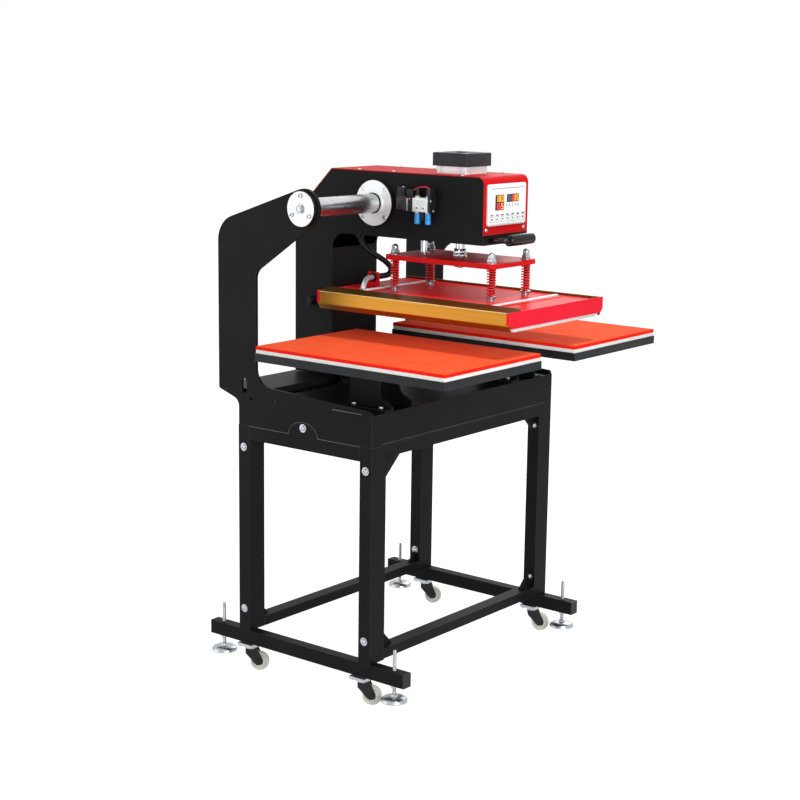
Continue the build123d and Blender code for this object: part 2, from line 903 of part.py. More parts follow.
platen_y_limits = (platen_y - platen_length / 2, platen_y + platen_length / 2)
with BuildPart() as platen_trays:
    for side, name in sides:
        centre = side * station_x
        tray_x = (centre - platen_width / 2 - tray_lip, centre + platen_width / 2 + tray_lip)
        tray_y = (platen_y_limits[0] - tray_lip, platen_y_limits[1] + tray_lip)
        block(tray_x, tray_y, (tray_bottom, tray_top))
        block(
            (tray_x[0] + tray_sheet, tray_x[1] - tray_sheet),
            (tray_y[0] + tray_sheet, tray_y[1] - tray_sheet),
            (tray_bottom, tray_top - tray_sheet),
            Mode.SUBTRACT,
        )
        for x in (centre - pedestal_spacing / 2, centre + pedestal_spacing / 2):
            block(
                (x - pedestal_flange, x + pedestal_flange),
                (pedestal_front - 60.0, pedestal_rear + 60.0),
                (tray_bottom, tray_top - tray_sheet),
            )
save(platen_trays, "platen_trays")

with BuildPart() as platen_boards:
    for side, name in sides:
        board_x = (side * station_x - platen_width / 2, side * station_x + platen_width / 2)
        block(board_x, platen_y_limits, (tray_top, board_top))
save(platen_boards, "platen_boards")

with BuildPart() as platen_pads:
    for side, name in sides:
        with Locations((side * station_x, platen_y, board_top + pad_thickness / 2)):
            Box(platen_width, platen_length, pad_thickness)
    fillet(platen_pads.edges().filter_by(Axis.Z), pad_rounding)
    fillet(platen_pads.edges().group_by(Axis.Z)[-1], pad_rounding)
save(platen_pads, "platen_pads")

# Head: two side plates that end in a rear leg, a folded cover, a base plate and the bearings
cover_inner_top = head_top - cover_sheet
cover_inner_front = head_front + cover_sheet
cover_inner_rear = head_rear - cover_sheet
slope_drop = head_rear - head_slope_y
slope_inner_y = head_slope_y - cover_sheet * math.tan(math.radians(22.5))
slope_inner_z = cover_inner_top - (cover_inner_rear - slope_inner_y)
head_outline = [
    (cover_inner_front, head_bottom, 0),
    (cover_inner_front, cover_inner_top, head_corner - cover_sheet),
    (slope_inner_y, cover_inner_top, 0),
    (cover_inner_rear, slope_inner_z, 0),
    (cover_inner_rear, leg_bottom, 0),
    (leg_front, leg_bottom, 0),
    (leg_front, head_bottom, head_throat_radius),
]
bearing_bolts = [
    (
        shaft_y + bearing_bolt_circle * math.cos(math.radians(turn)),
        shaft_z + bearing_bolt_circle * math.sin(math.radians(turn)),
    )
    for turn in (45, 135, 225, 315)
]
head_plates = ((head_left, "left"), (head_inner_right, "right"))
for low_x, name in head_plates:
    with BuildPart() as head_plate:
        slab(Plane.YZ.offset(low_x), head_outline, head_sheet)
        plate_x = (low_x, low_x + head_sheet)
        bar_x(plate_x, shaft_y, shaft_z, sleeve_radius + running_fit, Mode.SUBTRACT)
        discs(
            Plane.YZ.offset(low_x),
            bearing_bolts,
            bearing_bolt_radius + running_fit,
            head_sheet,
            Mode.SUBTRACT,
        )
    save(head_plate, f"head_{name}_plate")

cover_outline = [
    (head_front, cover_bottom, 0),
    (head_front, head_top, head_corner),
    (head_slope_y, head_top, 0),
    (head_rear, head_top - slope_drop, 0),
    (head_rear, cover_bottom, 0),
]
cover_inside = [
    (cover_inner_front, cover_bottom, 0),
    (cover_inner_front, cover_inner_top, head_corner - cover_sheet),
    (slope_inner_y, cover_inner_top, 0),
    (cover_inner_rear, slope_inner_z, 0),
    (cover_inner_rear, cover_bottom, 0),
]
cylinder_half = cylinder_square / 2
cylinder_hole = cylinder_half + 1.0
with BuildPart() as head_cover:
    slab(Plane.YZ.offset(head_left), cover_outline, head_width)
    slab(Plane.YZ.offset(head_left), cover_inside, head_width, Mode.SUBTRACT)
    block(
        (head_x - cylinder_hole, head_x + cylinder_hole),
        (cylinder_y - cylinder_hole, cylinder_y + cylinder_hole),
        (cover_inner_top, head_top),
        Mode.SUBTRACT,
    )
save(head_cover, "head_cover")

inner_width = (head_inner_left, head_inner_right)
base_plate_rear = leg_front - head_throat_radius
nose_rear = cover_inner_front + nose_depth
with BuildPart() as head_base_plate:
    block(inner_width, (cover_inner_front, base_plate_rear), (head_bottom, base_plate_top))
    block(inner_width, (cover_inner_front, nose_rear), (base_plate_top, cover_bottom))
    block((head_left, head_right), (head_front, cover_inner_front), (head_bottom, cover_bottom))
    bar_z(
        head_x,
        cylinder_y,
        (head_bottom, base_plate_top),
        piston_rod_radius + 3.0,
        Mode.SUBTRACT,
    )
    bar_z(
        head_x,
        guide_rod_y,
        (head_bottom, base_plate_top),
        bush_radius + running_fit,
        Mode.SUBTRACT,
    )
save(head_base_plate, "head_base_plate")

with BuildPart() as head_web:
    block(
        inner_width,
        (leg_front, leg_front + web_thickness),
        (leg_bottom + 4.0, head_bottom - head_throat_radius),
    )
    block((head_left, head_right), (cover_inner_rear, head_rear), (leg_bottom, cover_bottom))
save(head_web, "head_web")

with BuildPart() as shaft_bearings:
    for flange_x, sleeve_x in (
        (
            (head_left - bearing_flange_thickness, head_left),
            (head_left, head_left + sleeve_length),
        ),
        (
            (head_right, head_right + bearing_flange_thickness),
            (head_right - sleeve_length, head_right),
        ),
    ):
        bar_x(flange_x, shaft_y, shaft_z, bearing_flange_radius)
        discs(
            Plane.YZ.offset(flange_x[0]),
            bearing_bolts,
            bearing_bolt_radius + running_fit,
            bearing_flange_thickness,
            Mode.SUBTRACT,
        )
        outer_x = min(flange_x) if flange_x[0] < head_left else max(flange_x)
        inner_x = outer_x + bearing_sink * (1 if outer_x < head_left else -1)
        discs(
            Plane.YZ.offset(min(outer_x, inner_x)),
            bearing_bolts,
            bearing_head_radius + bolt_clearance,
            bearing_sink,
            Mode.SUBTRACT,
        )
        bar_x(sleeve_x, shaft_y, shaft_z, sleeve_radius)
        whole_x = (min(flange_x[0], sleeve_x[0]), max(flange_x[1], sleeve_x[1]))
        bar_x(whole_x, shaft_y, shaft_z, shaft_radius + running_fit, Mode.SUBTRACT)
    bar_z(head_x, guide_rod_y, (head_bottom, bush_top), bush_radius)
    flange_z = (head_bottom - bush_flange_thickness, head_bottom)
    bar_z(head_x, guide_rod_y, flange_z, bush_flange_radius)
    bar_z(
        head_x,
        guide_rod_y,
        (flange_z[0], bush_top),
        guide_rod_radius + running_fit,
        Mode.SUBTRACT,
    )
save(shaft_bearings, "shaft_bearings")

# The carriage steadies the leg: a wear pad on it runs along the bar on the rear box beam
carriage_rear = rail_front - body_gap
wear_pad_depth = 5.0
carriage_y = (
    carriage_rear - wear_pad_depth - carriage_thickness,
    carriage_rear - wear_pad_depth,
)
carriage_x = (head_x - carriage_width / 2, head_x + carriage_width / 2)
spacer_x = (carriage_x[0] + 20.0, carriage_x[1] - 20.0)
wear_pad_x = (head_x - wear_pad_width / 2, head_x + wear_pad_width / 2)
with BuildPart() as carriage_plate:
    block(carriage_x, carriage_y, (carriage_bottom, carriage_top))
    block(spacer_x, (carriage_y[1], leg_front), (leg_bottom + 8.0, carriage_top - 10.0))
with BuildPart() as wear_pad:
    block(wear_pad_x, (carriage_y[1], carriage_rear), rail_z)
save_group([carriage_plate, wear_pad], "lower_carriage")

with BuildPart() as travel_bumpers:
    for low_x, high_x in (
        (head_left - bumper_length, head_left),
        (head_right, head_right + bumper_length),
    ):
        bar_x((low_x, high_x), bumper_y, bumper_z, bumper_radius)
    tips = travel_bumpers.edges().filter_by(GeomType.CIRCLE).group_by(Axis.X)
    fillet(tips[0] + tips[-1], 4.0)
save(travel_bumpers, "travel_bumpers")

# Control panel: a bezel with two windows, and seven flat membrane keys that don't travel
bezel_x = (head_x - 2.0 - panel_bezel_width / 2, head_x - 2.0 + panel_bezel_width / 2)
bezel_front = head_front - panel_bezel_depth
display_xs = ((bezel_x[0] + 29.0, bezel_x[0] + 67.0), (bezel_x[0] + 79.0, bezel_x[0] + 132.0))
display_zs = ((display_bottom, display_top), (display_top - 18.0, display_top))
key_pitch = (panel_bezel_width - 31.0) / (key_count - 1)
key_centres = [bezel_x[0] + 15.5 + number * key_pitch for number in range(key_count)]
with BuildPart() as bezel:
    block(bezel_x, (bezel_front, head_front), (panel_bezel_bottom, panel_bezel_top))
    front_edges = bezel.faces().sort_by(Axis.Y)[0].edges()
    chamfer(front_edges, panel_bevel)
    for display_x, display_z in zip(display_xs, display_zs):
        block(
            display_x, (bezel_front, bezel_front + display_depth), display_z, Mode.SUBTRACT
        )
with BuildPart() as windows:
    for display_x, display_z in zip(display_xs, display_zs):
        block(display_x, (bezel_front + display_depth / 2, bezel_front + display_depth), display_z)
with BuildPart() as keys:
    for centre in key_centres:
        block(
            (centre - key_width / 2, centre + key_width / 2),
            (bezel_front - key_proud, bezel_front),
            (key_bottom, key_bottom + key_height),
        )
save_group([bezel, windows, keys], "control_panel")

# Handle: a round bar bent to a U, welded to the nose, with a foam grip on its long run
handle_x = (head_x - handle_span / 2, head_x + handle_span / 2)
with BuildPart() as handle_bar:
    with BuildLine() as handle_path:
        FilletPolyline(
            (handle_x[0], head_front, handle_z),
            (handle_x[0], handle_y, handle_z),
            (handle_x[1], handle_y, handle_z),
            (handle_x[1], head_front, handle_z),
            radius=handle_bend,
        )
    tube_along(handle_path.wire(), handle_tube_radius, "handle bar")
save(handle_bar, "handle_bar")

grip_x = (head_x - grip_length / 2, head_x + grip_length / 2)
with BuildPart() as handle_grip:
    bar_x(grip_x, handle_y, handle_z, grip_radius)
    fillet(handle_grip.edges().filter_by(GeomType.CIRCLE), 3.0)
    bar_x(grip_x, handle_y, handle_z, handle_tube_radius + running_fit, Mode.SUBTRACT)
save(handle_grip, "handle_grip")

# Air cylinder: a square barrel between two caps, held by four tie rods
barrel_x = (head_x - cylinder_half, head_x + cylinder_half)
barrel_y = (cylinder_y - cylinder_half, cylinder_y + cylinder_half)
barrel_bottom = base_plate_top + cylinder_foot
cap_top = cylinder_top + cap_height
tie_rod_points = [
    (head_x + dx * tie_rod_offset, cylinder_y + dy * tie_rod_offset)
    for dx in (-1, 1)
    for dy in (-1, 1)
]
with BuildPart() as barrel:
    block(barrel_x, barrel_y, (barrel_bottom, cylinder_top))
    bar_z(head_x, cylinder_y, (barrel_bottom, cylinder_top), cylinder_bore, Mode.SUBTRACT)
    discs(
        Plane.XY.offset(barrel_bottom),
        tie_rod_points,
        tie_rod_radius + running_fit,
        cylinder_top - barrel_bottom,
        Mode.SUBTRACT,
    )
with BuildPart() as tie_rods:
    discs(
        Plane.XY.offset(base_plate_top + 4.0),
        tie_rod_points,
        tie_rod_radius,
        cap_top - base_plate_top - 8.0,
    )
save_group([barrel, tie_rods], "cylinder_body")

with BuildPart() as cylinder_caps:
    block(barrel_x, barrel_y, (base_plate_top, barrel_bottom))
    bar_z(
        head_x,
        cylinder_y,
        (base_plate_top, barrel_bottom),
        piston_rod_radius + running_fit,
        Mode.SUBTRACT,
    )
    cap_half = cap_square / 2
    block(
        (head_x - cap_half, head_x + cap_half),
        (cylinder_y - cap_half, cylinder_y + cap_half),
        (cylinder_top, cap_top),
    )
    bar_z(
        head_x + cap_half / 2,
        cylinder_y + cap_half / 2,
        (cap_top, cap_top + cap_plug_height),
        cap_plug_radius,
    )
    discs(
        Plane.XY.offset(base_plate_top + 4.0),
        tie_rod_points,
        tie_rod_radius + running_fit,
        cap_top - base_plate_top - 8.0,
        Mode.SUBTRACT,
    )
save(cylinder_caps, "cylinder_caps")

# Air valve on the head's left face: bracket, body, solenoid core, coil and its terminal box
valve_seat = head_left - valve_bracket_sheet
valve_x = (valve_seat - valve_depth, valve_seat)
valve_middle = sum(valve_x) / 2
coil_x = (valve_seat - coil_depth, valve_seat)
with BuildPart() as valve_bracket:
    block(
        (valve_seat, head_left),
        (valve_bracket_front, coil_rear),
        (valve_body_bottom - 4.0, valve_body_top + 3.0),
    )
    block(
        valve_x,
        (valve_bracket_front, valve_bracket_front + valve_bracket_sheet),
        (valve_body_bottom - 4.0, valve_body_top + 3.0),
    )
with BuildPart() as valve_body:
    block(valve_x, (valve_body_front, valve_body_rear), (valve_body_bottom, valve_body_top))
    for slot_at in (valve_body_front + 17.0, valve_body_rear - 17.0):
        block(
            (valve_x[0], valve_x[0] + 1.5),
            (slot_at - 2.0, slot_at + 2.0),
            (valve_body_bottom + 6.0, valve_body_top - 6.0),
            Mode.SUBTRACT,
        )
with BuildPart() as valve_core:
    core_z = (valve_body_bottom + valve_body_top) / 2
    bar_y(valve_middle, (valve_body_rear, coil_front), core_z, core_radius)
    bar_y(valve_middle, (coil_front - 4.0, coil_front), core_z, core_radius + 2.0)
with BuildPart() as coil:
    block(coil_x, (coil_front, coil_rear), (valve_body_bottom + 3.0, valve_body_top))
    fillet(coil.edges().filter_by(Axis.Z), 4.0)
with BuildPart() as terminal_box:
    block(
        (coil_x[0] + 4.0, coil_x[1] - 4.0),
        (coil_front + 3.0, coil_rear - 3.0),
        (valve_body_top, terminal_top),
    )
save_group([valve_bracket, valve_body, valve_core, coil, terminal_box], "solenoid_valve")

with BuildPart() as air_fittings:
    for fitting_y in fitting_ys:
        fitting_z = (valve_body_bottom - fitting_length, valve_body_bottom)
        bar_z(valve_middle, fitting_y, fitting_z, fitting_radius)
        bar_z(
            valve_middle,
            fitting_y,
            (fitting_z[0], fitting_z[0] + 10.0),
            fitting_radius / 2,
            Mode.SUBTRACT,
        )
    bar_z(
        valve_middle,
        muffler_y,
        (valve_body_bottom - fitting_length * 0.8, valve_body_bottom),
        muffler_radius,
    )
    bar_z(
        valve_middle,
        fitting_ys[0],
        (valve_body_top, valve_body_top + fitting_length * 0.7),
        fitting_radius,
    )
save(air_fittings, "air_fittings")

# Heater: a heating plate under insulation, in a box of two skirts, two end plates and a cover
heater_x = (head_x - heater_width / 2, head_x + heater_width / 2)
inner_y = (heater_front + heater_end_thickness, heater_rear - heater_end_thickness)
block_x = (heater_x[0] + heater_inset, heater_x[1] - heater_inset)
block_y = (heater_front + heater_end_inset, heater_rear - heater_end_inset)
cover_x = (heater_x[0] + skirt_band, heater_x[1] - skirt_band)
block_top = heater_bottom + heater_plate_thickness
cover_under = heater_top - heater_sheet
with BuildPart() as heater_block:
    block(block_x, block_y, (heater_bottom, block_top))
    discs(
        Plane.XY.offset(block_top - stud_radius),
        post_points,
        post_radius + running_fit,
        stud_radius,
        Mode.SUBTRACT,
    )
save(heater_block, "heater_block")

with BuildPart() as heater_insulation:
    block(cover_x, block_y, (block_top, cover_under))
    discs(
        Plane.XY.offset(block_top),
        post_points,
        post_radius + bolt_clearance,
        cover_under - block_top,
        Mode.SUBTRACT,
    )
save(heater_insulation, "heater_insulation")

with BuildPart() as heater_skirts:
    for edge, inward in ((heater_x[0], 1), (heater_x[1], -1)):
        skirt_outline = [
            (edge, skirt_face_bottom, 0),
            (edge, skirt_edge, 0),
            (edge + inward * (skirt_band - skirt_ridge_width), skirt_ridge, 0),
            (edge + inward * skirt_band, skirt_ridge, 0),
            (edge + inward * skirt_band, cover_under, 0),
            (edge + inward * heater_sheet, skirt_edge - heater_sheet / 2, 0),
            (edge + inward * heater_sheet, skirt_face_bottom + heater_sheet / 2, 0),
            (edge + inward * (skirt_tuck + heater_sheet), skirt_bottom, 0),
            (edge + inward * skirt_tuck, skirt_bottom, 0),
        ]
        slab(Plane.XZ.offset(-inner_y[1]), skirt_outline, inner_y[1] - inner_y[0])
save(heater_skirts, "heater_skirts")

end_outline = [
    (heater_x[0], heater_end_bottom + skirt_tuck, 0),
    (heater_x[0], heater_top, 0),
    (heater_x[1], heater_top, 0),
    (heater_x[1], heater_end_bottom + skirt_tuck, 0),
    (heater_x[1] - skirt_tuck, heater_end_bottom, 0),
    (heater_x[0] + skirt_tuck, heater_end_bottom, 0),
]
with BuildPart() as heater_ends:
    for rear_y in (inner_y[0], heater_rear):
        slab(Plane.XZ.offset(-rear_y), end_outline, heater_end_thickness)
save(heater_ends, "heater_ends")

with BuildPart() as heater_cover:
    block(cover_x, inner_y, (cover_under, heater_top))
    discs(
        Plane.XY.offset(cover_under),
        post_points,
        post_radius + bolt_clearance,
        heater_sheet,
        Mode.SUBTRACT,
    )
save(heater_cover, "heater_cover")

# Posts screwed into the heating plate, with the spacers, the nuts and two strips on the cover
nut_bottom = plate_top + body_gap
with BuildPart() as posts:
    discs(
        Plane.XY.offset(block_top - stud_radius),
        post_points,
        post_radius,
        nut_bottom + nut_height - block_top + stud_radius,
    )
with BuildPart() as spacers:
    discs(Plane.XY.offset(heater_top), post_points, spacer_radius, spacer_height)
    discs(
        Plane.XY.offset(heater_top),
        post_points,
        post_radius + running_fit,
        spacer_height,
        Mode.SUBTRACT,
    )
with BuildPart() as acorn_nuts:
    hexagons(Plane.XY.offset(nut_bottom), post_points, nut_across, nut_height)
    for x, y in post_points:
        with Locations((x, y, nut_bottom + nut_height)):
            Sphere(nut_across / 2 - 0.5, arc_size1=0)
    discs(
        Plane.XY.offset(nut_bottom),
        post_points,
        post_radius + running_fit,
        nut_height,
        Mode.SUBTRACT,
    )
with BuildPart() as strips:
    for offset_y in (-strip_offset, strip_offset):
        block(
            (head_x - strip_length / 2, head_x + strip_length / 2),
            (platen_y + offset_y - strip_width / 2, platen_y + offset_y + strip_width / 2),
            (heater_top, heater_top + strip_thickness),
        )
save_group([posts, spacers, acorn_nuts, strips], "post_hardware")

# The bracket that holds the power conduit on the heater, with its ring and a braided sleeve
bracket_x_limits = (bracket_x - bracket_sheet / 2, bracket_x + bracket_sheet / 2)
bracket_y_limits = (bracket_y - bracket_size / 2, bracket_y + bracket_size / 2)
ring_x = (bracket_x - ring_depth / 2, bracket_x + ring_depth / 2)
with BuildPart() as bracket:
    block(bracket_x_limits, bracket_y_limits, (heater_top, heater_top + bracket_size))
    block(
        (bracket_x_limits[1], bracket_x_limits[1] + bracket_foot),
        bracket_y_limits,
        (heater_top, heater_top + bracket_sheet),
    )
    bar_x(bracket_x_limits, bracket_y, conduit_z, ring_radius - 2.0, Mode.SUBTRACT)
with BuildPart() as ring:
    bar_x(ring_x, bracket_y, conduit_z, ring_radius - 2.0)
    for lip_x in ((ring_x[0], bracket_x_limits[0]), (bracket_x_limits[1], ring_x[1])):
        bar_x(lip_x, bracket_y, conduit_z, ring_radius)
sleeve_route = [
    (ring_x[0], bracket_y, conduit_z),
    (ring_x[0] - 20.0, bracket_y, conduit_z),
    (ring_x[0] - 42.0, bracket_y - 6.0, conduit_z + 1.0),
    (ring_x[0] - 59.0, bracket_y - 17.0, conduit_z - 3.0),
    (ring_x[0] - 66.0, bracket_y - 22.0, conduit_z - 10.0),
    (ring_x[0] - 66.0, bracket_y - 22.0, heater_top),
]
with BuildPart() as braided_sleeve:
    with BuildLine() as sleeve_path:
        FilletPolyline(*sleeve_route, radius=bend_radii(sleeve_route))
    tube_along(sleeve_path.wire(), sleeve_tube_radius, "braided sleeve")
save_group([bracket, ring, braided_sleeve], "conduit_bracket")

# The power conduit hangs in a bow from the head's underside to the ring on the heater
conduit_route = [
    (-62.0, 188.0, head_bottom),
    (-62.0, 188.0, 1152.0),
    (-42.0, 168.0, 1122.0),
    (-10.0, 142.0, 1098.0),
    (8.0, 130.0, 1076.0),
    (-4.0, 129.0, 1059.0),
    (-32.0, bracket_y, conduit_z),
    (ring_x[1], bracket_y, conduit_z),
]
conduit_radii = bend_radii(conduit_route)
print("power conduit radii", [round(radius, 1) for radius in conduit_radii])
with BuildPart() as power_conduit:
    with BuildLine() as conduit_path:
        FilletPolyline(*conduit_route, radius=conduit_radii)
    tube_along(conduit_path.wire(), conduit_radius, "power conduit")
save(power_conduit, "power_conduit")

# Press plate: it hangs on the piston rod and presses the heater down through four springs
with BuildPart() as press_plate:
    plate_y = (platen_y - plate_length / 2, platen_y + plate_length / 2)
    plate_x = (head_x - plate_width / 2, head_x + plate_width / 2)
    block(plate_x, plate_y, (plate_bottom, plate_top))
    fillet(press_plate.edges().filter_by(Axis.Z), plate_corner)
    discs(
        Plane.XY.offset(plate_bottom),
        post_points,
        post_radius + sliding_fit,
        plate_thickness,
        Mode.SUBTRACT,
    )
    discs(
        Plane.XY.offset(plate_bottom),
        [(head_x, cylinder_y), (head_x, guide_rod_y)],
        stud_radius + running_fit,
        plate_thickness,
        Mode.SUBTRACT,
    )
save(press_plate, "press_plate")

rod_stud_end = plate_bottom - lower_nut_height - 2.0
with BuildPart() as piston_rod:
    bar_z(head_x, cylinder_y, (plate_top, piston_bottom), piston_rod_radius)
    bar_z(head_x, cylinder_y, (rod_stud_end, plate_top), stud_radius)
    piston_z = (piston_bottom, piston_bottom + piston_thickness)
    bar_z(head_x, cylinder_y, piston_z, cylinder_bore - running_fit)
with BuildPart() as rod_nuts:
    rod_at = [(head_x, cylinder_y)]
    hexagons(Plane.XY.offset(plate_top), rod_at, coupling_across, coupling_height)
    discs(
        Plane.XY.offset(plate_top),
        rod_at,
        piston_rod_radius + running_fit,
        coupling_height,
        Mode.SUBTRACT,
    )
    lower_nut_bottom = plate_bottom - lower_nut_height
    hexagons(Plane.XY.offset(lower_nut_bottom), rod_at, lower_nut_across, lower_nut_height)
    guide_at = [(head_x, guide_rod_y)]
    guide_nut_bottom = plate_bottom - guide_nut_height
    hexagons(Plane.XY.offset(guide_nut_bottom), guide_at, lower_nut_across, guide_nut_height)
    discs(
        Plane.XY.offset(lower_nut_bottom),
        rod_at + guide_at,
        stud_radius + running_fit,
        lower_nut_height,
        Mode.SUBTRACT,
    )
with BuildPart() as guide_rod:
    bar_z(head_x, guide_rod_y, (guide_stud_end, plate_top), stud_radius)
    bar_z(head_x, guide_rod_y, (plate_top, guide_rod_top), guide_rod_radius)
    washer_z = (plate_top, plate_top + guide_washer_thickness)
    bar_z(head_x, guide_rod_y, washer_z, guide_washer_radius)
save_group([piston_rod, rod_nuts, guide_rod], "press_rods")

# Springs: one wire each, with straight ends that stand square on the spacer and the plate
spring_radius = (spring_outer - spring_wire) / 2
spring_end = spring_wire
spring_lead = 5.0
lead_turn = 60.0
spring_height = plate_bottom - spacer_top
pitch = (spring_height - 2 * spring_end - 2 * spring_lead) / spring_curls


def helix_point(turn):
    """A point of the coil, and the direction of the wire there, after a number of turns."""
    angle = 2 * math.pi * turn + math.radians(lead_turn)
    point = Vector(
        spring_radius * math.cos(angle),
        spring_radius * math.sin(angle),
        spring_end + spring_lead + pitch * turn,
    )
    direction = Vector(
        -spring_radius * math.sin(angle),
        spring_radius * math.cos(angle),
        pitch / (2 * math.pi),
    ).normalized()
    return point, direction


def biarc(start, start_direction, end, end_direction):
    """Two tangent arcs in space that leave and arrive in the given directions."""
    chord = end - start
    both = start_direction + end_direction
    spread = 2 * (1 - start_direction.dot(end_direction))
    reach = chord.dot(both)
    arm = (math.sqrt(reach**2 + spread * chord.dot(chord)) - reach) / spread
    middle = (start + end + (start_direction - end_direction) * arm) / 2
    middle_direction = chord - both * arm
    TangentArc(start, middle, tangent=start_direction)
    TangentArc(middle, end, tangent=middle_direction)


up = Vector(0, 0, 1)
coil_end_angle = math.radians(lead_turn) + 2 * math.pi * spring_curls + math.radians(lead_turn)
foot_low = Vector(spring_radius, 0, 0)
foot_high = foot_low + up * spring_end
head_low = Vector(
    spring_radius * math.cos(coil_end_angle),
    spring_radius * math.sin(coil_end_angle),
    spring_height - spring_end,
)
with BuildLine() as spring_path:
    Line(foot_low, foot_high)
    here, direction = helix_point(0)
    biarc(foot_high, up, here, direction)
    for half_turn in range(1, 2 * spring_curls + 1):
        there, there_direction = helix_point(half_turn / 2)
        biarc(here, direction, there, there_direction)
        here, direction = there, there_direction
    biarc(here, direction, head_low, up)
    Line(head_low, head_low + up * spring_end)
spring_wire_path = spring_path.wire()
with BuildPart() as spring:
    tube_along(spring_wire_path, spring_wire / 2, "spring")

samples = [spring_wire_path @ (number / 600) for number in range(601)]
sample_step = spring_wire_path.length / 600
skip = int(3 * spring_wire / sample_step) + 1
self_gap = min(
    (samples[i] - samples[j]).length for i in range(601) for j in range(i + skip, 601)
)
print("spring least gap to itself", round(self_gap - spring_wire, 2))
springs = [spring.part.moved(Location((x, y, spacer_top))) for x, y in post_points]
spring_group = Compound([solid for copy in springs for solid in copy.solids()])
spring_group.label = "springs"
export_step(spring_group, "parts/springs.step")

# Fasteners of the stand: heads and shanks in the holes cut above


def side_bolts(points, head_across, head_height, shank_radius, shank_length, outer):
    """Adds bolts whose heads sit on the outer faces, at a distance from the middle plane."""
    for side in (-1, 1):
        head_x_limits = across(side, outer, outer + head_height)
        shank_x_limits = across(side, outer - shank_length, outer)
        hexagons(Plane.YZ.offset(head_x_limits[0]), points, head_across, head_height)
        discs(Plane.YZ.offset(shank_x_limits[0]), points, shank_radius, shank_length)


leg_bolts = [
    (sum(leg_y) / 2, bolt_z) for leg_y in (front_leg, rear_leg) for bolt_z in leg_bolt_heights
]
disc_face = half_width + end_disc_thickness
stud_points = [(side * beam_middle, y) for side, n in sides for y in (front_foot_y, rear_foot_y)]
with BuildPart() as frame_fasteners:
    side_bolts(leg_bolts, leg_bolt_head, leg_bolt_head_height, leg_bolt_radius, 12.0, half_width)
    side_bolts(
        shelf_bolts, 10.0, 4.0, leg_bolt_radius, side_plate_thickness, half_width
    )
    side_bolts(
        [tab_bolt],
        leg_bolt_head,
        leg_bolt_head_height,
        leg_bolt_radius,
        side_plate_thickness + backing_thickness,
        half_width,
    )
    side_bolts(
        disc_bolts,
        leg_bolt_head,
        leg_bolt_head_height,
        end_disc_bolt_radius,
        end_disc_thickness + boss_thickness,
        disc_face,
    )
    side_bolts(
        [(shaft_y, shaft_z)], 19.0, 6.0, centre_bolt_radius, end_disc_thickness + 28.0, disc_face
    )
    bolt_face = deck_top + pedestal_sheet
    shank_length = pedestal_sheet + deck_thickness
    hexagons(Plane.XY.offset(bolt_face), foot_bolt_points, 10.0, 4.0)
    discs(
        Plane.XY.offset(deck_top - deck_thickness),
        foot_bolt_points,
        foot_bolt_radius,
        shank_length,
    )
    discs(
        Plane.XZ.offset(-rail_front - rail_screw_depth),
        rail_bolts,
        rail_screw_radius,
        rail_screw_height,
    )
    discs(
        Plane.XZ.offset(-shelf_front - shelf_wall),
        rail_bolts,
        foot_bolt_radius,
        guide_rail_thickness + shelf_wall,
    )
    weld_nut_face = Plane.XY.offset(beam_bottom - weld_nut_height)
    hexagons(weld_nut_face, stud_points, weld_nut_across, weld_nut_height)
    discs(
        weld_nut_face,
        stud_points,
        foot_stud_radius + running_fit,
        weld_nut_height,
        Mode.SUBTRACT,
    )
    discs(
        Plane.XY.offset(race_top),
        caster_bolt_points,
        caster_bolt_radius,
        caster_plate_thickness + mount_plate_thickness,
    )
    hexagons(Plane.XY.offset(race_top - 3.5), caster_bolt_points, 8.0, 3.5)
save(frame_fasteners, "frame_fasteners")

# Fasteners of the head: bearing bolts, cover screws and the bolts of the carriage
cover_screw_ys = (head_front + 75.0, 35.0, 150.0)
with BuildPart() as head_screws:
    for outer_x, inward in (
        (head_left - bearing_flange_thickness, 1),
        (head_right + bearing_flange_thickness, -1),
    ):
        shank_end = outer_x + inward * (bearing_flange_thickness + head_sheet)
        head_seat = outer_x + inward * bearing_sink
        head_end = head_seat - inward * bearing_head_height
        discs(
            Plane.YZ.offset(min(head_seat, head_end)),
            bearing_bolts,
            bearing_head_radius,
            bearing_head_height,
        )
        discs(
            Plane.YZ.offset(min(outer_x, shank_end)),
            bearing_bolts,
            bearing_bolt_radius,
            bearing_flange_thickness + head_sheet,
        )
    for screw_x in (head_left + 8.0, head_right - 8.0):
        for screw_y in cover_screw_ys:
            bar_z(screw_x, screw_y, (head_top, head_top + 2.5), 4.0)
        bar_y(screw_x, (head_front - 2.5, head_front), cover_bottom + 12.0, 4.0)
    carriage_bolts = [
        (x, z) for x in (spacer_x[0] + 15.0, spacer_x[1] - 15.0) for z in (carriage_top - 50.0, carriage_top - 25.0)
    ]
    hexagons(Plane.XZ.offset(-carriage_y[0]), carriage_bolts, 13.0, 5.0)
save(head_screws, "head_screws")
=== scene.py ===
# %% [markdown]
# # A dual station heat press, dressed in Blender
# The press stands on a wheeled stand. A red head slides along a round shaft between two padded
# platens and lowers a heated plate. The CAD model already holds every piece at its real size,
# so this lesson loads it as a fixed frame, gives each surface its finish, and replaces the
# pieces whose charm is in fine detail: springs, bolts, valve, panel, hoses, feet and wheels.

# %% Load the frame
import math

import bpy
import numpy as np
from mathutils import Matrix, Vector


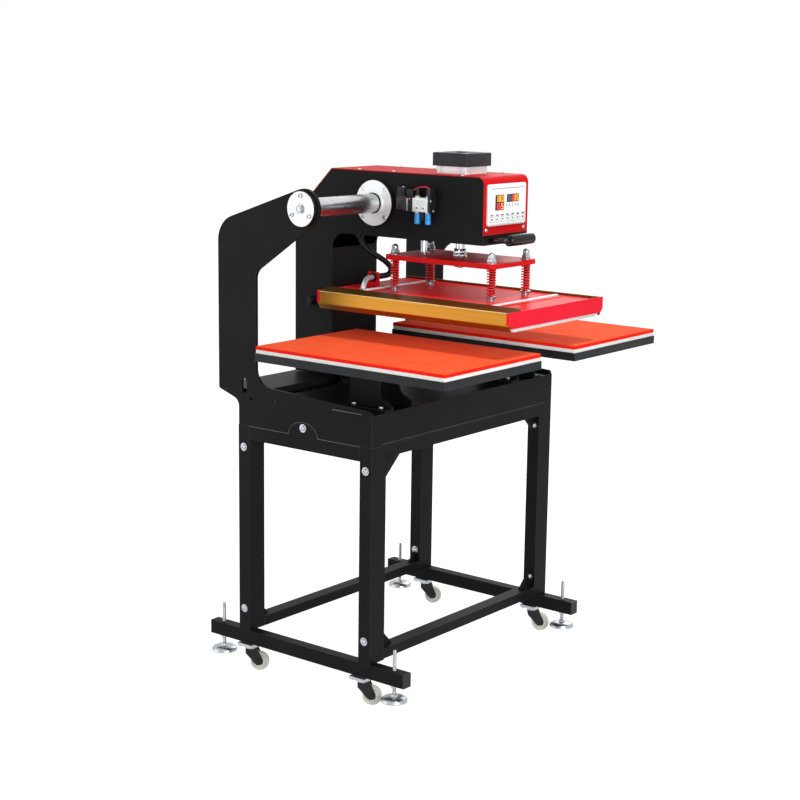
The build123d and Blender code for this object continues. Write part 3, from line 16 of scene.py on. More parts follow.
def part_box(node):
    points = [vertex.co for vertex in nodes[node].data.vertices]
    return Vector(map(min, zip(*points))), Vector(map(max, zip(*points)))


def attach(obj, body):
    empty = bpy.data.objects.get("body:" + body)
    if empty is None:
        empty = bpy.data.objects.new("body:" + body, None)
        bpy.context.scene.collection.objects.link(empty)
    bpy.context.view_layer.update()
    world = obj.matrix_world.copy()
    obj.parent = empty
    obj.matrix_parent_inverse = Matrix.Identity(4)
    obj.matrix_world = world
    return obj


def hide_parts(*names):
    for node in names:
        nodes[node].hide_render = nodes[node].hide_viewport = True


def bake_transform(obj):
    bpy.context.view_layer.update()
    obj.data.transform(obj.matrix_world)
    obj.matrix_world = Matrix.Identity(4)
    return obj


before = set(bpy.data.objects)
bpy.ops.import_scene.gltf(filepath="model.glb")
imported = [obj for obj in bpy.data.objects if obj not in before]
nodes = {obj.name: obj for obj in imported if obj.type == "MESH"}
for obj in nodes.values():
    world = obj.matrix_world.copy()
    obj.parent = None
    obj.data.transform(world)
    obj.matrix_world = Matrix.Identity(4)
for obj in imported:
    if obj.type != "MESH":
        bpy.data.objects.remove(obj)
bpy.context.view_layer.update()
scene = bpy.context.scene
MM = 0.001

# %% [markdown]
# ## Camera
# The photograph is taken from the front left, a little above the platens, with a long lens.
# The direction is kept as an azimuth and an elevation, and the tiny roll levels the picture.

# %% Camera
CAMERA_PLACE = Vector((-3.5654, -2.7287, 1.6124))
CAMERA_AZIMUTH = math.radians(-51.675)
CAMERA_ELEVATION = math.radians(11.159)
CAMERA_ROLL = math.radians(0.776)
CAMERA_LENS = 75.895

right = Vector((math.cos(CAMERA_AZIMUTH), math.sin(CAMERA_AZIMUTH), 0))
back = Vector(
    (
        math.sin(CAMERA_AZIMUTH) * math.cos(CAMERA_ELEVATION),
        -math.cos(CAMERA_AZIMUTH) * math.cos(CAMERA_ELEVATION),
        math.sin(CAMERA_ELEVATION),
    )
)
up = back.cross(right)
rolled_right = right * math.cos(CAMERA_ROLL) + up * math.sin(CAMERA_ROLL)
rolled_up = up * math.cos(CAMERA_ROLL) - right * math.sin(CAMERA_ROLL)
turn = Matrix((rolled_right, rolled_up, back)).transposed()
camera_data = bpy.data.cameras.new("photo_camera")
camera_data.lens = CAMERA_LENS
camera_data.sensor_width = 36.0
camera_data.clip_end = 60.0
camera = bpy.data.objects.new("photo_camera", camera_data)
camera.matrix_world = Matrix.Translation(CAMERA_PLACE) @ turn.to_4x4()
scene.collection.objects.link(camera)
scene.camera = camera
scene.view_settings.view_transform = "Standard"


# %% [markdown]
# ## Building surfaces from arrays
# Every new piece is a grid of points that one formula gives at once. A few helpers cover this
# machine: a profile turned round an axis, a tube carried along a path, a plate whose edge
# profile is carried round an outline, and a box with round edges. Sizes are in millimetres.

# %% Mesh helpers
def shape(rings, loop=False):
    """A shape of (points, faces, caps) from a stack of rings. Quads join each point to the next
    one round its ring and to the ring above. A loop also joins the last ring to the first, and
    other shapes get a cap at both ends, the first one turned round so that it faces outwards."""
    rows, sides = rings.shape[:2]
    row, column = np.arange(rows if loop else rows - 1)[:, None], np.arange(sides)[None, :]
    here, above, beside = row * sides, (row + 1) % rows * sides, (column + 1) % sides
    corners = (here + column, here + beside, above + beside, above + column)
    faces = np.stack(corners, axis=-1).reshape(-1, 4)
    last = (rows - 1) * sides
    caps = () if loop else (range(sides)[::-1], range(last, last + sides))
    return rings.reshape(-1, 3), faces, caps


def circle(angle, first=(1, 0), second=(0, 1)):
    """Points on a unit circle: cos(angle) x first + sin(angle) x second."""
    return np.cos(angle)[:, None] * first + np.sin(angle)[:, None] * second


def piece(name, shapes, material, body, smooth_angle=35.0):
    """A mesh object of one or more shapes in millimetres, riding on a body of the frame."""
    faces, start = [], 0
    for points, quads, caps in shapes:
        faces += (quads + start).tolist() + [[start + i for i in cap] for cap in caps]
        start += len(points)
    mesh = bpy.data.meshes.new(name)
    everything = np.concatenate([points for points, _, _ in shapes])
    mesh.from_pydata((everything * MM).tolist(), [], faces)
    mesh.validate()
    mesh.shade_smooth()
    mesh.set_sharp_from_angle(angle=math.radians(smooth_angle))
    mesh.materials.append(material)
    made = bpy.data.objects.new(name, mesh)
    scene.collection.objects.link(made)
    if body:
        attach(made, body)
    return made


def axis_frame(direction):
    """Two unit vectors square to a direction, and the direction: a right-handed set of three."""
    along = np.asarray(direction, float)
    along = along / np.linalg.norm(along)
    helper = np.array([0, 0, 1.0]) if abs(along[2]) < 0.9 else np.array([1.0, 0, 0])
    first = np.cross(helper, along)
    first /= np.linalg.norm(first)
    return first, np.cross(along, first), along


def lathe(profile, origin, direction=(0, 0, 1), sides=48, hexed=()):
    """Turns a profile of (radius, height) round an axis: point = origin + height x axis + radius
    x (cos t, sin t). Rows named in hexed become hexagons whose half width across flats is the
    radius, which makes nuts and sockets."""
    first, second, along = axis_frame(direction)
    profile = np.asarray(profile, float)
    angle = np.linspace(0, 2 * np.pi, sides, endpoint=False)
    radius = np.repeat(profile[:, :1], sides, axis=1)
    sixth = np.pi / 3
    radius[list(hexed)] /= np.cos(np.mod(angle, sixth) - sixth / 2)
    heights = profile[:, 1, None, None] * along
    points = np.asarray(origin, float) + heights + radius[..., None] * circle(angle, first, second)
    return shape(points)


TUBE_REFERENCE = (0.13, 0.31, 0.94)


def tube(path, radius, sides):
    """A round tube along a path: each ring stands square to the path's direction there, with its
    sides turned by a fixed reference vector. The radius may change from point to point."""
    path = np.asarray(path, float)
    heading = np.gradient(path, axis=0)
    heading /= np.linalg.norm(heading, axis=1)[:, None]
    first = np.cross(TUBE_REFERENCE, heading)
    first /= np.linalg.norm(first, axis=1)[:, None]
    second = np.cross(heading, first)
    angle = np.linspace(0, 2 * np.pi, sides, endpoint=False)
    width = np.broadcast_to(np.asarray(radius, float), (len(path), sides))[..., None]
    ring = circle(angle, first[:, None], second[:, None])
    return shape(path[:, None] + width * ring)


QUARTER_TURNS = [np.array([[c, -s], [s, c]]) for c, s in ((1, 0), (0, 1), (-1, 0), (0, -1))]
CORNER_SIGNS = np.array([[1, 1], [-1, 1], [-1, -1], [1, -1]])


def rounded_outline(width, height, radius, steps=6):
    """A rectangle with round corners: four quarter circles, joined by the straight sides."""
    quarter = circle(np.linspace(0, np.pi / 2, steps)) * radius
    corner = np.array([width / 2 - radius, height / 2 - radius])
    corners = zip(CORNER_SIGNS, QUARTER_TURNS)
    return np.concatenate([sign * corner + quarter @ turned.T for sign, turned in corners])


def outline_inset(outline, inset):
    """Moves each point of a closed outline inwards, along the mean of its two sides' normals."""
    side = outline - np.roll(outline, 1, axis=0)
    side = side / np.linalg.norm(side, axis=1)[:, None]
    normal = np.stack((-side[:, 1], side[:, 0]), axis=1)
    after = np.roll(normal, -1, axis=0)
    both = normal + after
    both /= np.maximum(1 + np.sum(normal * after, axis=1), 0.2)[:, None]
    return outline + both * inset


def plate(outline, profile, origin, across=(1, 0, 0), upwards=(0, 1, 0)):
    """Carries an edge profile of (inset, height) round an outline that lies in the plane of two
    vectors: point = origin + u x across + v x upwards + height x normal."""
    across = np.asarray(across, float)
    upwards = np.asarray(upwards, float)
    normal = np.cross(across, upwards)
    start = np.asarray(origin, float)
    rings = []
    for inset, height in profile:
        flat = outline_inset(outline, inset)
        rings.append(start + flat[:, :1] * across + flat[:, 1:] * upwards + height * normal)
    return shape(np.stack(rings))


def soft_edge(thickness, radius):
    """An edge profile of (inset, height) with a quarter round at the bottom and at the top."""
    angle = np.linspace(0, np.pi / 2, 4)
    steep, shallow = radius * (1 - np.sin(angle)), radius * (1 - np.cos(angle))
    low = np.stack((steep, shallow), axis=1)
    high = np.stack((shallow, thickness - steep), axis=1)
    return np.concatenate((low, high))


def rounded_box(low, high, radius):
    """A box with round edges, as a plate whose outline and edge profile are both rounded."""
    low, high = np.asarray(low, float), np.asarray(high, float)
    size, centre = high - low, (low + high) / 2
    radius = min(radius, 0.49 * size.min())
    outline = rounded_outline(size[0], size[1], radius * 1.01, 4)
    return plate(outline, soft_edge(size[2], radius), (centre[0], centre[1], low[2]))


def smooth_path(name, route):
    """Points along the smooth NURBS line whose control points are a given route."""
    curve = bpy.data.curves.new(name, "CURVE")
    curve.dimensions = "3D"
    curve.resolution_u = 24
    spline = curve.splines.new("NURBS")
    spline.points.add(len(route) - 1)
    weights = np.ones((len(route), 1))
    spline.points.foreach_set("co", np.hstack((np.asarray(route, float), weights)).ravel())
    spline.order_u = 3
    spline.use_endpoint_u = True
    helper = bpy.data.objects.new(name, curve)
    line = bpy.data.meshes.new_from_object(helper)
    points = np.empty(len(line.vertices) * 3)
    line.vertices.foreach_get("co", points)
    bpy.data.objects.remove(helper)
    bpy.data.curves.remove(curve)
    bpy.data.meshes.remove(line)
    points = points.reshape(-1, 3)
    keep = np.r_[True, np.linalg.norm(np.diff(points, axis=0), axis=1) > 1e-4]
    return points[keep]


def even_path(path, step):
    """The same path with its points an equal distance apart, and its whole length."""
    lengths = np.r_[0, np.cumsum(np.linalg.norm(np.diff(path, axis=0), axis=1))]
    places = np.linspace(0, lengths[-1], int(lengths[-1] / step) + 1)
    points = np.stack([np.interp(places, lengths, path[:, i]) for i in range(3)], axis=1)
    return points, lengths[-1]


# %% [markdown]
# ## Finishes
# Real finishes come from how a surface was made. Powder coat has a fine orange peel, anodised
# sheet keeps a rolled grain, silicone is dull with an open texture. Each material below says
# so, takes its colours as hex values, and sizes its pattern in millimetres. A bevel normal
# rounds the CAD edges so that they catch light, as a deburred and painted edge does.

# %% Material helpers
def linear(hex_colour):
    """An sRGB hex value as the linear colour that the shader wants."""
    channels = np.array([int(hex_colour[i : i + 2], 16) for i in (1, 3, 5)]) / 255
    curved = ((channels + 0.055) / 1.055) ** 2.4
    return (*np.where(channels <= 0.04045, channels / 12.92, curved).tolist(), 1.0)


def add(tree, kind, inputs=None, **settings):
    """Adds a node with its settings, and sets or links each input, by its name or number."""
    made = tree.nodes.new("ShaderNode" + kind)
    for name, value in settings.items():
        setattr(made, name, value)
    for name, value in (inputs or {}).items():
        if isinstance(value, bpy.types.NodeSocket):
            tree.links.new(value, made.inputs[name])
        else:
            made.inputs[name].default_value = value
    return made


def new_tree(name):
    """A new material and its empty node tree."""
    material = bpy.data.materials.new(name)
    material.use_nodes = True
    material.node_tree.nodes.clear()
    return material, material.node_tree


def blend_colour(tree, factor, first, second):
    """A colour that goes from one to the other as the factor goes from 0 to 1."""
    inputs = {0: factor, 6: first, 7: second}
    return add(tree, "Mix", inputs, data_type="RGBA").outputs[2]


def ramp(tree, value, low, high, start=0.0, end=1.0):
    """Maps a value from one range to another, held at its ends."""
    inputs = {"Value": value, "From Min": low, "From Max": high, "To Min": start, "To Max": end}
    return add(tree, "MapRange", inputs).outputs["Result"]


def surface(
    name, colours, roughness, spread=0.06, grain=2.0, bump=0.03, patch=90.0, edge=0.5,
    stretch=(1, 1, 1), edge_highlight=None, pattern=None, specular=0.5, **shader_inputs,
):
    """A finish. Its colour drifts between two hex values in patches, a fine grain moves its
    roughness and relief, and its edges are softened. Grain, patch, edge and bump are in
    millimetres, and stretch draws the grain out, as rolling or brushing does. The edge highlight
    is a third, paler colour painted along the edges as a painted highlight. A pattern changes the
    height and the colour further."""
    material, tree = new_tree(name)
    place = add(tree, "TexCoord").outputs["Object"]
    drawn = add(tree, "Mapping", {"Vector": place, "Scale": stretch}).outputs["Vector"]
    fine = add(tree, "TexNoise", {"Vector": drawn, "Scale": 1000 / grain, "Detail": 3.0})
    broad = add(tree, "TexNoise", {"Vector": drawn, "Scale": 1000 / patch, "Detail": 3.0})
    drift = ramp(tree, broad.outputs["Fac"], 0.35, 0.65)
    colour = blend_colour(tree, drift, linear(colours[0]), linear(colours[1]))
    height = fine.outputs["Fac"]
    if pattern:
        height, colour = pattern(tree, place, height, colour)
    soft = add(tree, "Bevel", {"Radius": edge * MM}, samples=4).outputs["Normal"]
    # Painted highlight: a paler colour blended in along the edges, where the bevel normal turns
    # from the face, so that the edges look lit.
    if edge_highlight:
        normal = add(tree, "NewGeometry").outputs["Normal"]
        turned = add(tree, "VectorMath", {0: soft, 1: normal}, operation="DOT_PRODUCT")
        highlight_mask = ramp(tree, turned.outputs["Value"], 0.99, 0.90)
        colour = blend_colour(tree, highlight_mask, colour, linear(edge_highlight))
    low, high = max(roughness - spread, 0.03), min(roughness + spread, 1.0)
    inputs = {
        "Base Color": colour,
        "Roughness": ramp(tree, fine.outputs["Fac"], 0.3, 0.7, low, high),
        "Specular IOR Level": specular,
        "Normal": add(tree, "Bump", {"Height": height, "Distance": bump * MM, "Normal": soft})
        .outputs["Normal"],
    }
    shader = add(tree, "BsdfPrincipled", inputs | shader_inputs)
    add(tree, "OutputMaterial", {"Surface": shader.outputs["BSDF"]})
    return material


# %% [markdown]
# ## Paints and powder coats
# The stand and the head's side plates are black powder coat: paint baked from dust, which
# flows into tiny hills a millimetre or two across and stays satin. Each paint's paler edge colour
# and the thin pale lines along the seams are painted highlights. The covers, bracket and press
# plate are enamel in slightly different reds, the heater's cover lighter as painted light, and
# the heater's ends are crimson.

# %% Painted steel
# The third colour of the paints below is a paler painted highlight along their edges.
powder_coat_black = surface(
    "powder_coat_black", ("#151516", "#19191a"), 0.46, grain=1.6, bump=0.05, edge=1.1,
    edge_highlight="#4c4c4e", specular=0.06,
)
# A pale grey for thin painted highlight lines along seams and plate edges.
powder_coat_painted_highlight = surface(
    "powder_coat_painted_edge_highlight", ("#7c7d7f", "#8b8c8e"), 0.4, grain=1.6, bump=0.03, edge=0.2,
    specular=0.2,
)
enamel_red = surface(
    "gloss_enamel_red", ("#d3131a", "#da181e"), 0.4, grain=3.0, bump=0.01, edge=1.0,
    edge_highlight="#f2423c", specular=0.05,
)
enamel_crimson = surface(
    "gloss_enamel_crimson", ("#ec1830", "#f21e37"), 0.4, grain=3.0, bump=0.01, edge=0.8,
    edge_highlight="#ff5a62", specular=0.08,
)
# The heater's cover is a lighter copy of the red enamel: painted light that lifts it out of the
# press plate's shade.
enamel_red_painted_lighter = surface(
    "gloss_enamel_red_painted_lighter", ("#e2232a", "#e8292f"), 0.4, grain=3.0, bump=0.008, edge=1.0,
    edge_highlight="#f2423c", specular=0.03,
)
enamel_signal = surface(
    "gloss_enamel_signal_red", ("#c2141a", "#c9191e"), 0.42, grain=3.0, bump=0.01, edge=1.0,
    edge_highlight="#ee3a36", specular=0.03,
)
powder_coat_spring = surface(
    "powder_coat_spring_red", ("#d8161b", "#e2211f"), 0.34, grain=1.2, bump=0.03, edge=0.2,
    specular=0.35,
)
black_oxide_steel = surface(
    "black_oxide_steel", ("#111113", "#19191b"), 0.38, grain=0.8, bump=0.02,
    specular=0.25,
)
print("painted finishes", [m.name for m in bpy.data.materials])

# %% [markdown]
# ## Metals
# Hard chrome on the shaft is ground round and polished, with a satin sheen. The discs and
# bearings are turned aluminium, so their grain runs in fine rings round the shaft's line. The
# heater's skirts are gold anodised sheet, rolled along their length. Zinc plate is a dull,
# cloudy silver, and drawn aluminium has long faint lines along the cylinder.

# %% Bare and plated metals
SHAFT_Y, SHAFT_Z = 87.2, 1262.1
RING_PITCH = 0.9
# Heights in metres of the dark bands painted on the gold sheet: a painted reflection at its top,
# painted shade at its foot.
DARK_BAND_TOP, DARK_BAND_FOOT = (1.0312, 1.0326), (0.9985, 0.9965)


def turned_rings(tree, place, height, colour):
    """Tool rings round the shaft's line: a wave of the distance from it, 0.9 mm apart."""
    moved = {"Vector": place, "Location": (0, -SHAFT_Y * MM, -SHAFT_Z * MM)}
    centred = add(tree, "Mapping", moved).outputs["Vector"]
    wave = {"Vector": centred, "Scale": 50 / RING_PITCH, "Distortion": 0.4, "Detail": 1.0}
    rings = add(tree, "TexWave", wave, wave_type="RINGS", rings_direction="X").outputs["Fac"]
    shaded = blend_colour(tree, ramp(tree, rings, 0, 1, 0.0, 0.35), colour, linear("#a9acb0"))
    both = add(tree, "Math", {0: rings, 1: height}, operation="ADD").outputs["Value"]
    return both, shaded


def painted_dark_bands(tree, place, height, colour):
    """Dark brown along the top as a painted reflection, and paler along the foot as painted shade.
    """
    level = add(tree, "SeparateXYZ", {"Vector": place}).outputs["Z"]
    upper = ramp(tree, level, *DARK_BAND_TOP, 0.0, 0.78)
    lower = ramp(tree, level, *DARK_BAND_FOOT, 0.0, 0.55)
    shaded = blend_colour(tree, upper, colour, linear("#4a3308"))
    return height, blend_colour(tree, lower, shaded, linear("#5a3d0c"))


hard_chrome = surface(
    "hard_chrome_ground", ("#c9ccd0", "#d4d6d9"), 0.26, spread=0.03, grain=1.2, bump=0.004,
    stretch=(4, 0.4, 0.4), edge=0.4, Metallic=1.0,
)
turned_aluminium = surface(
    "aluminium_turned", ("#e0e3e3", "#e9ebeb"), 0.36, grain=0.8, bump=0.012, edge=0.7,
    pattern=turned_rings, Metallic=0.5,
)
# The gold sheet's pale edges are a painted highlight, and its dark bands at top and foot are a
# painted reflection and painted shade.
anodised_gold = surface(
    "aluminium_anodised_gold", ("#b4822b", "#aa7823"), 0.38, grain=1.4, bump=0.012,
    stretch=(6, 0.15, 6), patch=60.0, edge=0.5, edge_highlight="#e2c27e", pattern=painted_dark_bands, Metallic=0.8,
)
# A pale gold for a thin bead along each skirt's top edge, as a painted highlight.
gold_painted_highlight = surface(
    "aluminium_anodised_gold_painted_highlight", ("#f2dfa8", "#e8d194"), 0.34, grain=1.0, bump=0.006,
    edge=0.2, Metallic=0.4,
)
zinc_plate = surface(
    "steel_zinc_plated", ("#b9bcc0", "#a9adb3"), 0.3, spread=0.1, grain=1.0, bump=0.015,
    patch=12.0, edge=0.4, Metallic=1.0,
)
# Its third colour is a paler painted highlight along the tray's edges.
galvanised_tray = surface(
    "steel_sheet_dark_painted", ("#191c1d", "#222527"), 0.42, spread=0.1, grain=1.5, bump=0.015,
    stretch=(0.3, 1, 1), patch=40.0, edge=0.5, edge_highlight="#4a4e50", specular=0.15,
)
drawn_aluminium = surface(
    "aluminium_drawn_clear_anodised", ("#e0ebeb", "#e9f2f2"), 0.36, grain=0.9, bump=0.012,
    stretch=(1, 1, 0.06), patch=30.0, edge=0.6, Metallic=0.2,
)
cast_heating_plate = surface(
    "aluminium_cast_bead_blasted", ("#e6e5e2", "#dcdbd7"), 0.5, grain=0.7, bump=0.03,
    patch=50.0, edge=0.8, Metallic=0.35,
)
brass_sinter = surface(
    "bronze_sintered", ("#a98a4a", "#8f7338"), 0.5, spread=0.12, grain=0.5, bump=0.08,
    patch=4.0, edge=0.3, Metallic=0.9,
)
chrome_bright = surface(
    "chrome_plate_bright", ("#d3d5d8", "#c4c7cb"), 0.14, spread=0.05, grain=1.0, bump=0.006,
    edge=0.4, Metallic=1.0,
)
print("metals done")

# %% [markdown]
# ## Plastics, rubber and board
# Moulded plastic copies the fine etch of its tool. The pads are orange silicone foam with an
# open skin, over a white board with a pressed face. Nylon wheels are off white and a little
# waxy, and the panel's overlay is a white polyester film.

# %% Plastics and soft materials
silicone_foam = surface(
    "silicone_foam_orange", ("#ff5a2e", "#ff6439"), 0.85, spread=0.08, grain=0.9, bump=0.12,
    patch=70.0, edge=1.2, specular=0.1,
)
silicone_lip = surface(
    "silicone_cut_edge_red", ("#fb1a06", "#ff240c"), 0.7, grain=0.6, bump=0.1, edge=0.6,
    specular=0.15,
)
pressed_board = surface(
    "laminate_board_white", ("#e9e9e6", "#f1f1ee"), 0.45, grain=1.5, bump=0.02, edge=0.5
)
insulation_wool = surface(
    "glass_wool_board_cream", ("#d9d2bd", "#c9c1aa"), 0.95, grain=1.2, bump=0.5, patch=15.0,
    stretch=(1, 1, 3),
)
nylon_white = surface(
    "nylon_moulded_white", ("#eceae2", "#e2e0d6"), 0.38, grain=1.0, bump=0.02, edge=1.0,
    **{"Subsurface Weight": 0.1, "Subsurface Radius": (0.003, 0.003, 0.003)},
)
plastic_black = surface(
    "nylon_moulded_black", ("#101011", "#161617"), 0.42, grain=0.6, bump=0.04, edge=0.6,
    specular=0.25,
)
rubber_black = surface(
    "rubber_moulded_black", ("#0f0f10", "#151516"), 0.62, spread=0.1, grain=0.8, bump=0.06,
    edge=1.0, specular=0.2,
)
gloss_black = surface(
    "steel_gloss_black_paint", ("#0c0c0d", "#111112"), 0.2, grain=2.5, bump=0.012, edge=0.6,
    specular=0.3,
)
overlay_white = surface(
    "polyester_overlay_white", ("#f1f3f4", "#eaedef"), 0.4, grain=0.7, bump=0.015, edge=0.8
)
fitting_blue = surface(
    "acetal_moulded_blue", ("#1b8fe0", "#2a9cea"), 0.3, grain=0.8, bump=0.02, edge=0.5
)
epoxy_coil = surface(
    "epoxy_moulded_dark_grey", ("#151617", "#1d1e20"), 0.36, grain=0.6, bump=0.04, edge=0.8,
    specular=0.35,
)
cylinder_cap_grey = surface(
    "aluminium_anodised_dark_grey", ("#2d2e31", "#28292b"), 0.42, grain=0.8, bump=0.02, edge=1.0,
    specular=0.15,
)
grip_foam = surface(
    "nitrile_foam_black", ("#060607", "#0a0a0b"), 0.14, spread=0.03, grain=1.4, bump=0.008,
    specular=0.2,
)
film_pale = surface("polyester_film_pale", ("#fafbfb", "#f4f6f7"), 0.32, grain=0.6, bump=0.01)
ink_grey = surface("screen_ink_grey", ("#5d6368", "#51575c"), 0.5, grain=0.5, bump=0.01)
smoked_acrylic = surface(
    "acrylic_smoked", ("#1c0d0a", "#120a0a"), 0.12, spread=0.03, grain=4.0, bump=0.004
)
unlit_grey = surface("display_segment_unlit", ("#6f7377", "#7b7f84"), 0.4, grain=1.0, bump=0.01)
lit_red = surface(
    "display_segment_red", ("#ff2a14", "#ff3b1c"), 0.4, grain=1.0, bump=0.01,
    **{"Emission Color": linear("#ff2a10"), "Emission Strength": 0.8},
)
lit_amber = surface(
    "display_segment_amber", ("#ffb01e", "#ffc02e"), 0.4, grain=1.0, bump=0.01,
    **{"Emission Color": linear("#ffa81a"), "Emission Strength": 0.8},
)
tinned_braid = surface(
    "copper_braid_tinned", ("#e6e7e8", "#c9cbcd"), 0.36, spread=0.1, grain=0.6, bump=0.05,
    edge=0.1, Metallic=0.6,
)
conduit_black = surface(
    "polyamide_conduit_black", ("#0f0f10", "#151516"), 0.28, grain=0.7, bump=0.02, edge=0.2,
    specular=0.3,
)
wire_red = surface("pvc_wire_red", ("#d01822", "#dc2830"), 0.35, grain=0.6, bump=0.01, edge=0.1)
steel_white_paint = surface(
    "enamel_off_white", ("#eceded", "#f4f4f4"), 0.35, grain=2.0, bump=0.02, edge=0.4
)
print("plastics done,", len(bpy.data.materials), "finishes in all")

# %% [markdown]
# ## Finishes on the CAD pieces
# Every CAD piece keeps its shape and gets its finish by the start of its name. Pieces that a
# finer model replaces get one too, so none ever lacks a finish.

# %% Dress the CAD pieces
DRESS = {
    powder_coat_black: (
        "left_base_beam right_base_beam front_legs rear_legs top_rails lower_cross_tubes "
        "left_side_plate right_side_plate front_panel deck_plate rear_box_beam "
        "platen_pedestals head_left_plate head_right_plate head_base_plate head_web "
        "lower_carriage"
    ),
    enamel_signal: "head_cover",
    # Painted light: the heater's cover gets the lighter copy of the red enamel.
    enamel_red_painted_lighter: "heater_cover",
    enamel_red: "press_plate conduit_bracket",
    enamel_crimson: "heater_ends",
    anodised_gold: "heater_skirts",
    hard_chrome: "upper_shaft press_rods",
    turned_aluminium: "shaft_end_discs shaft_bearings",
    zinc_plate: (
        "frame_fasteners lower_guide_rail head_screws post_hardware caster_plates levelling_foot"
    ),
    black_oxide_steel: "caster_fork",
    nylon_white: "caster_wheel",
    galvanised_tray: "platen_trays",
    drawn_aluminium: "cylinder_body",
    cast_heating_plate: "heater_block",
    pressed_board: "platen_boards",
    silicone_foam: "platen_pads",
    insulation_wool: "heater_insulation",
    plastic_black: "beam_end_caps cylinder_caps",
    rubber_black: "handle_grip travel_bumpers power_conduit",
    gloss_black: "handle_bar",
    overlay_white: "control_panel",
    fitting_blue: "air_fittings",
    epoxy_coil: "solenoid_valve",
    powder_coat_spring: "springs",
}
for name, node in nodes.items():
    for finish, starts in DRESS.items():
        if name.startswith(tuple(starts.split())):
            for slot in node.material_slots:
                slot.material = finish
print("dressed", len(nodes), "CAD pieces")

# %% [markdown]
# ## Floor, background and light
# The object stands on a plain pale floor. Both the floor and the world look white to the
# camera and in reflections, through the light path node, while the light on the object stays
# at a plain level: a small lamp high above, a large soft one in front on the left, and two
# weak ones at the sides.

# %% Stage
def seen(tree):
    """1 for camera, glossy and transmission rays, and 0 for all others."""
    path = add(tree, "LightPath")
    rays = [path.outputs[f"Is {kind} Ray"] for kind in ("Camera", "Glossy", "Transmission")]
    first = add(tree, "Math", {0: rays[0], 1: rays[1]}, operation="MAXIMUM").outputs[0]
    return add(tree, "Math", {0: first, 1: rays[2]}, operation="MAXIMUM").outputs[0]


WORLD_LIGHT = 0.40
FLOOR_GLOW = 0.86
FLOOR_HALF = 14.0
world = bpy.data.worlds.new("studio")
world.use_nodes = True
world.node_tree.nodes.clear()
strength = ramp(world.node_tree, seen(world.node_tree), 0, 1, WORLD_LIGHT, 1.0)
background = add(world.node_tree, "Background", {"Color": (1, 1, 1, 1), "Strength": strength})
add(world.node_tree, "OutputWorld", {"Surface": background.outputs[0]})
scene.world = world

floor_paint, tree = new_tree("painted_floor_pale")
shine = ramp(tree, seen(tree), 0, 1, 0.0, FLOOR_GLOW)
glow = add(tree, "Emission", {"Color": (1, 1, 1, 1), "Strength": shine})
dull = add(tree, "BsdfDiffuse", {"Color": linear("#b8b8b8")})
both = add(tree, "AddShader", {0: glow.outputs[0], 1: dull.outputs[0]})
add(tree, "OutputMaterial", {"Surface": both.outputs[0]})
floor_mesh = bpy.data.meshes.new("floor")
corners = [(x * FLOOR_HALF, y * FLOOR_HALF, 0.0) for x, y in CORNER_SIGNS[[2, 3, 0, 1]].tolist()]
floor_mesh.from_pydata(corners, [], [(0, 1, 2, 3)])
floor_mesh.materials.append(floor_paint)
floor = bpy.data.objects.new("floor", floor_mesh)
scene.collection.objects.link(floor)


def lamp(name, place, target, size, power):
    """A square soft lamp that faces a target."""
    light = bpy.data.lights.new(name, "AREA")
    light.size = size
    light.energy = power
    made = bpy.data.objects.new(name, light)
    made.location = place
    made.rotation_euler = (Vector(target) - Vector(place)).to_track_quat("-Z", "Y").to_euler()
    scene.collection.objects.link(made)


lamp("key_lamp", (-0.2, -1.4, 3.7), (0, -0.1, 0.9), 0.45, 46.0)
lamp("front_lamp", (-2.0, -3.0, 1.7), (0, 0, 0.8), 1.8, 72.0)
lamp("left_lamp", (-2.6, 2.2, 1.2), (0, 0, 0.8), 2.4, 26.0)
lamp("right_lamp", (3.2, 1.0, 2.2), (0, 0, 0.8), 1.8, 24.0)
print("stage ready")

# %% [markdown]
# ## Bolts, nuts and threads
# A bolt head is a turned shape with one hexagonal part: a hexagon outside on a nut, or sunk
# inside on a socket screw. So one lathe with a list of hexagonal rows makes every fastener.
# A thread is a tube whose radius rises and falls along a helix.

# %% Fastener shapes
LEFT, FRONT, UP, DOWN = (-1, 0, 0), (0, -1, 0), (0, 0, 1), (0, 0, -1)


def button_head(place, direction, radius, height, socket, washer=0.0):
    """A round headed bolt with a hexagon socket, on a washer: an outside arc, then the pit."""
    rise = np.linspace(0.15, 1.0, 5)
    dome = [(radius * math.sqrt(1 - 0.62 * r**3), washer + height * r) for r in rise]
    pit = [(socket, washer + height), (socket, washer + height * 0.45)]
    base = [(radius * 1.45, 0), (radius * 1.45, 1.2), (radius, 1.25)] if washer else [(radius, 0)]
    profile = base + dome + pit
    rows = len(profile)
    return lathe(profile, place, direction, 24, hexed=(rows - 2, rows - 1))


def socket_head(place, direction, radius, height, socket):
    """A cylindrical screw head with a small chamfer and a hexagon socket."""
    edge = [(radius, 0), (radius, height - 0.8), (radius - 0.8, height)]
    pit = [(socket, height), (socket, height * 0.4)]
    return lathe(edge + pit, place, direction, 36, hexed=(3, 4))


def hexagon_nut(place, direction, across, height, washer=0.0):
    """A hexagon with chamfered corners, on a washer if asked."""
    half = across / 2
    base = [(half * 1.35, 0), (half * 1.35, washer), (half, washer)] if washer else [(half, 0)]
    top = washer + height
    profile = base + [(half, top - 0.12 * height), (half * 0.98, top)]
    return lathe(profile, place, direction, 24, hexed=(len(base) - 1, len(base)))


